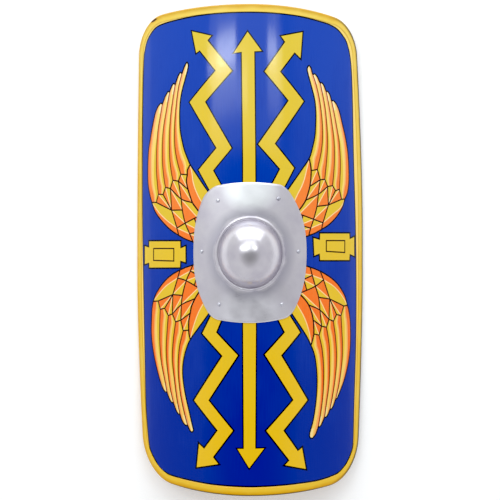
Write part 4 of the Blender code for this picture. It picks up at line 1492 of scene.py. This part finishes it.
# %% Rivet sizes
CORNER_RIVETS = (           # place round the curve, end of the plate and how far in from it
    (0.0610, 1, 0.0350),
    (-0.0690, 1, 0.0390),
    (-0.0660, -1, 0.0390),
    (0.0680, -1, 0.0390),
)
SIDE_RIVET_ARC = 0.1055
SIDE_RIVET_T = 0.0020
HEAD_RADIUS = 0.0043
HEAD_HEIGHT = 0.0022
SHANK_RADIUS = 0.0020
TAIL_RADIUS = 0.0032
TAIL_HEIGHT = 0.0015
PAD_THICKNESS = 0.010
RIVET_SEGMENTS = 32
DOME_STEPS = 6

rivet_steel = worked_steel("steel rivet, peened and filed", "e2e2e8", "b4b4be",
                           roughness=0.22, scratch=0.00025)


def domed_end(radius, height, level):
    """A low dome's profile from its crown out to its rim, as (radius, height)."""
    angles = [math.pi / 2 * step / DOME_STEPS for step in range(DOME_STEPS + 1)]
    return [(radius * math.sin(angle), level + height * math.cos(angle)) for angle in angles]


def rivet_mesh(name, tail):
    """One rivet turned about its own axis: a low domed head, the shank and a smaller domed tail."""
    seat = PLATE_TOP + GAP
    profile = domed_end(HEAD_RADIUS, HEAD_HEIGHT, seat) + [(SHANK_RADIUS, seat), (SHANK_RADIUS, tail)]
    profile += domed_end(TAIL_RADIUS, -TAIL_HEIGHT, tail)[::-1]
    bm = bmesh.new()
    verts = [bm.verts.new((radius, 0, height)) for radius, height in profile]
    edges = [bm.edges.new(pair) for pair in zip(verts, verts[1:])]
    bmesh.ops.spin(bm, geom=verts + edges, cent=(0, 0, 0), axis=(0, 0, 1), angle=2 * math.pi,
                   steps=RIVET_SEGMENTS)
    mesh = as_mesh(name, bm)
    tidy_normals(mesh)
    return mesh


short_tail = -BOARD_THICKNESS - GAP
long_tail = short_tail - PAD_THICKNESS - GAP
rivet_places = [(s, BOSS_T + end * (FLANGE_HALF_HEIGHT - inset), 0) for s, end, inset in CORNER_RIVETS]
rivet_places += [(side * SIDE_RIVET_ARC, BOSS_T + SIDE_RIVET_T, 1) for side in (-1, 1)]
print(len(rivet_places), "rivets of", rivet_steel.name)

# %% Rivet tree
rivet_tree, given, result = new_tree("rivets on points", (
    ("Short rivet", "NodeSocketObject", None), ("Long rivet", "NodeSocketObject", None),
    ("Finish", "NodeSocketMaterial", None)))
kinds = add(rivet_tree, "GeometryNodeGeometryToInstance")
for model in ("Long rivet", "Short rivet"):
    info = add(rivet_tree, "GeometryNodeObjectInfo", {"Object": given[model], "As Instance": True})
    feed(rivet_tree, kinds, {"Geometry": info.outputs["Geometry"]})
points = add(rivet_tree, "GeometryNodeMeshToPoints", {"Mesh": given["Geometry"]})
lean = add(rivet_tree, "GeometryNodeInputNamedAttribute", {"Name": "lean"}, data_type="FLOAT")
kind = add(rivet_tree, "GeometryNodeInputNamedAttribute", {"Name": "kind"}, data_type="INT")
turned = add(rivet_tree, "ShaderNodeCombineXYZ", {"Y": lean.outputs["Attribute"]})
set_on = add(rivet_tree, "GeometryNodeInstanceOnPoints", {
    "Points": points, "Instance": kinds, "Pick Instance": True, "Rotation": turned,
    "Instance Index": kind.outputs["Attribute"]})
finish_tree(rivet_tree, set_on, given["Finish"], result)
print("the rivets' tree has", len(rivet_tree.nodes), "nodes")

# %% Build the rivets
models = [put_in_scene(name, rivet_mesh(name, tail))
          for name, tail in (("short rivet", short_tail), ("long rivet", long_tail))]
points_mesh = line_mesh("rivet points", [bend(s, t) for s, t, _ in rivet_places], closed=False)
lean_data = points_mesh.attributes.new("lean", "FLOAT", "POINT").data
kind_data = points_mesh.attributes.new("kind", "INT", "POINT").data
for index, (s, t, long_one) in enumerate(rivet_places):
    lean_data[index].value = s / FACE_RADIUS
    kind_data[index].value = long_one
rivets_mesh = made_by_tree("boss_rivets", points_mesh, rivet_tree, {
    "Short rivet": models[0], "Long rivet": models[1], "Finish": rivet_steel})
for model in models:
    bpy.data.objects.remove(model)
tidy_normals(rivets_mesh)
flat_data = rivets_mesh.attributes.new("flat", "FLOAT_VECTOR", "POINT").data
for vert, kept in zip(rivets_mesh.vertices, flat_data):
    kept.vector = vert.co
rivet_nodes = ["boss_rivet_%d" % number for number in range(1, 7)]
boss_rivets = place_piece("boss_rivets", rivets_mesh, "rivet_steel", *rivet_nodes)

# %% [markdown]
# The grip was cut from one ash bar: a hold of oval section across the hand hole, swelling into two flat
# pads that seat on the hollow back of the board. Its sections follow one rule from the middle to each
# end. A spokeshave leaves it smooth, and the oil makes it a warm brown with its grain along the bar.

# %% Grip sizes
GRIP_PAD = 0.0170
GRIP_PAD_HALF_WIDTH = 0.0190
GRIP_HALF_WIDTH = 0.0135
GRIP_DEPTH = 0.024
GRIP_HOLD = 0.055
GRIP_EASE = 0.0085
GRIP_PAD_EASE = 0.0015
HOLD_STEPS = 8
SWELL_STEPS = 12
PAD_STEPS = 6
CORNER_STEPS = 5

ash = oiled_wood("ash, spokeshaved and oiled", "b07a48", "9c683a", "5e3a1c", along=0, roughness=0.45,
                 flame=0.012)
print("grip:", ash.name)

# %% The grip's sections


def grip_stations():
    """Sections from the middle to one end: top and bottom as (x, z), half width, ease of the edges."""
    seat = BOARD_THICKNESS + GAP
    inner_end = SIDE_RIVET_ARC - GRIP_PAD
    level = bend(inner_end, 0, seat).z
    hold_bottom = level - GRIP_DEPTH
    foot = bend(inner_end, 0, seat + PAD_THICKNESS)
    stations = []
    for step in range(HOLD_STEPS + 1):
        x = GRIP_HOLD * step / HOLD_STEPS
        stations.append(((x, level), (x, hold_bottom), GRIP_HALF_WIDTH, GRIP_EASE))
    for step in range(1, SWELL_STEPS):
        share = step / SWELL_STEPS
        swell = share * share * (3 - 2 * share)
        x = GRIP_HOLD + (foot.x - GRIP_HOLD) * share
        bottom = hold_bottom + (foot.z - hold_bottom) * swell
        half = GRIP_HALF_WIDTH + (GRIP_PAD_HALF_WIDTH - GRIP_HALF_WIDTH) * swell
        soft = GRIP_EASE + (GRIP_PAD_EASE - GRIP_EASE) * swell
        stations.append(((x, level), (x, bottom), half, soft))
    for step in range(PAD_STEPS + 1):
        s = SIDE_RIVET_ARC + GRIP_PAD * (2 * step / PAD_STEPS - 1)
        top = bend(s, 0, seat)
        bottom = bend(s, 0, seat + PAD_THICKNESS)
        stations.append(((top.x, top.z), (bottom.x, bottom.z), GRIP_PAD_HALF_WIDTH, GRIP_PAD_EASE))
    return stations


def grip_section(station, side):
    """The places round one section: a rectangle with round corners, leaning with the board on the pads."""
    top, bottom, half, soft = station
    ring = []
    for y_side, at_top, begin in ((1, True, 90), (1, False, 0), (-1, False, -90), (-1, True, -180)):
        centre_y = y_side * (half - soft)
        centre_z = top[1] - soft if at_top else bottom[1] + soft
        for step in range(CORNER_STEPS + 1):
            angle = math.radians(begin - 90 * step / CORNER_STEPS)
            y = centre_y + soft * math.cos(angle)
            z = centre_z + soft * math.sin(angle)
            lean = (top[1] - z) / (top[1] - bottom[1])
            x = top[0] + (bottom[0] - top[0]) * lean
            ring.append(Vector((side * x, BOSS_T + SIDE_RIVET_T + y, z)))
    return ring


# %% Build the grip
grip_bm = bmesh.new()
layer = grip_bm.verts.layers.float_vector.new("flat")
stations = grip_stations()
sections = [grip_section(station, -1) for station in reversed(stations)]
sections += [grip_section(station, 1) for station in stations[1:]]
grip_rings = [[grip_bm.verts.new(place) for place in section] for section in sections]
for ring in grip_rings:
    for vert in ring:
        vert[layer] = vert.co
for ring, following in zip(grip_rings, grip_rings[1:]):
    join_rings(grip_bm, ring, following)
grip_bm.faces.new(grip_rings[0])
grip_bm.faces.new(grip_rings[-1])
grip_mesh = as_mesh("hand_grip", grip_bm, ash)
tidy_normals(grip_mesh)
hand_grip = place_piece("hand_grip", grip_mesh, "grip_wood", "handgrip")

# %% [markdown]
# The shield lies on a wide pale table inside a light tent, whose white walls are dimmer overhead than at
# the sides. The table's top glows a little, so the ground is nearly white and shadows stay faint. A tall
# bright wall beyond the shield's top end gives the white bar on the dome. Panels hang overhead, where the
# curved face mirrors them: the broad and the upper one give the dome its stem of light, and the strips
# and panels to the left and right give the two soft streaks on the blue, each fainter towards its outer
# end.

# %% Floor, world and levels
FLOOR_SIZE = 12.0
TENT_RISE = (0.75, 0.97)    # heights between which the light of the sides turns into that of the top
TENT_SIDES = 0.85
TENT_TOP = 0.35
TENT_COLOUR = (0.96, 0.97, 1.0, 1.0)
BLACK_POINT = 0.027         # light below this shows as black
TABLE_GLOW = 0.14
floor_mesh = bpy.data.meshes.new("table")
half = FLOOR_SIZE / 2
table_corners = [(across * half, up * half, 0) for across, up in ((-1, -1), (1, -1), (1, 1), (-1, 1))]
floor_mesh.from_pydata(table_corners, [], [(0, 1, 2, 3)])
floor = put_in_scene("table", floor_mesh)
light_table = bpy.data.materials.new("light table, opal acrylic lit from below")
light_table.use_nodes = True
feed(light_table.node_tree, light_table.node_tree.nodes["Principled BSDF"], {
    "Base Color": (0.95, 0.95, 0.95, 1.0), "Roughness": 0.9,
    "Emission Color": (1.0, 1.0, 0.98, 1.0), "Emission Strength": TABLE_GLOW})
floor_mesh.materials.append(light_table)

world = bpy.data.worlds.new("light tent")
world.use_nodes = True
tent = world.node_tree
direction = add(tent, "ShaderNodeTexCoord").outputs["Generated"]
upward = add(tent, "ShaderNodeSeparateXYZ", (direction,)).outputs["Z"]
glow = add(tent, "ShaderNodeMapRange", (upward, *TENT_RISE, TENT_SIDES, TENT_TOP))
feed(tent, tent.nodes["Background"], {"Color": TENT_COLOUR, "Strength": glow})
bpy.context.scene.world = world
levels = bpy.context.scene.view_settings
levels.view_transform = "Standard"
levels.use_curve_mapping = True
levels.curve_mapping.black_level = (BLACK_POINT, BLACK_POINT, BLACK_POINT)
levels.curve_mapping.update()
print(light_table.name, "in a", world.name)

# %% Lights
LAMP_COLOUR = (0.95, 1.0, 1.0)
LAMP_HEIGHT = 2.9
WALL_AIM = (0.0, 0.0, 0.9)
OVERHEAD = (                # name, place, size, watts, turn in degrees
    ("broad panel", (-0.275, 0.925, LAMP_HEIGHT + 0.02), (3.25, 0.95), 9, 0.0),
    ("upper panel", (0.0, 1.75, LAMP_HEIGHT), (2.4, 0.70), 6, 0.0),
    ("left strip", (-1.05, 0.908, LAMP_HEIGHT), (0.90, 0.135), 5.7, -1.5),
    ("left strip end", (-1.78, 0.908, LAMP_HEIGHT), (0.56, 0.135), 1.5, -1.5),
    ("right strip", (0.945, 0.908, LAMP_HEIGHT), (0.41, 0.135), 1.5, 1.5),
    ("right strip end", (1.30, 0.908, LAMP_HEIGHT), (0.30, 0.135), 0.3, 1.5),
    ("left panel", (-0.925, 0.73, LAMP_HEIGHT), (1.65, 0.21), 2.6, 0.0),
    ("right panel", (1.125, 0.73, LAMP_HEIGHT), (0.75, 0.21), 0.8, 0.0),
)


def softbox(name, place, size, watts, aim, turn_degrees=0.0):
    """A rectangular light turned towards a place, and about its own axis."""
    light = bpy.data.lights.new(name, "AREA")
    light.shape = "RECTANGLE"
    light.size, light.size_y = size
    light.energy = watts
    light.color = LAMP_COLOUR
    box = put_in_scene(name, light)
    box.location = place
    facing = (Vector(aim) - Vector(place)).to_track_quat("-Z", "Y").to_matrix()
    box.rotation_euler = (facing @ Matrix.Rotation(math.radians(turn_degrees), 3, "Z")).to_euler()


softbox("bright wall", (0.0, 2.6, 1.35), (5.0, 2.7), 55, WALL_AIM)
for lamp_name, lamp_place, lamp_size, watts, turn in OVERHEAD:
    softbox(lamp_name, lamp_place, lamp_size, watts, (lamp_place[0], lamp_place[1], 0.0), turn)
print("lights:", len(OVERHEAD) + 1)
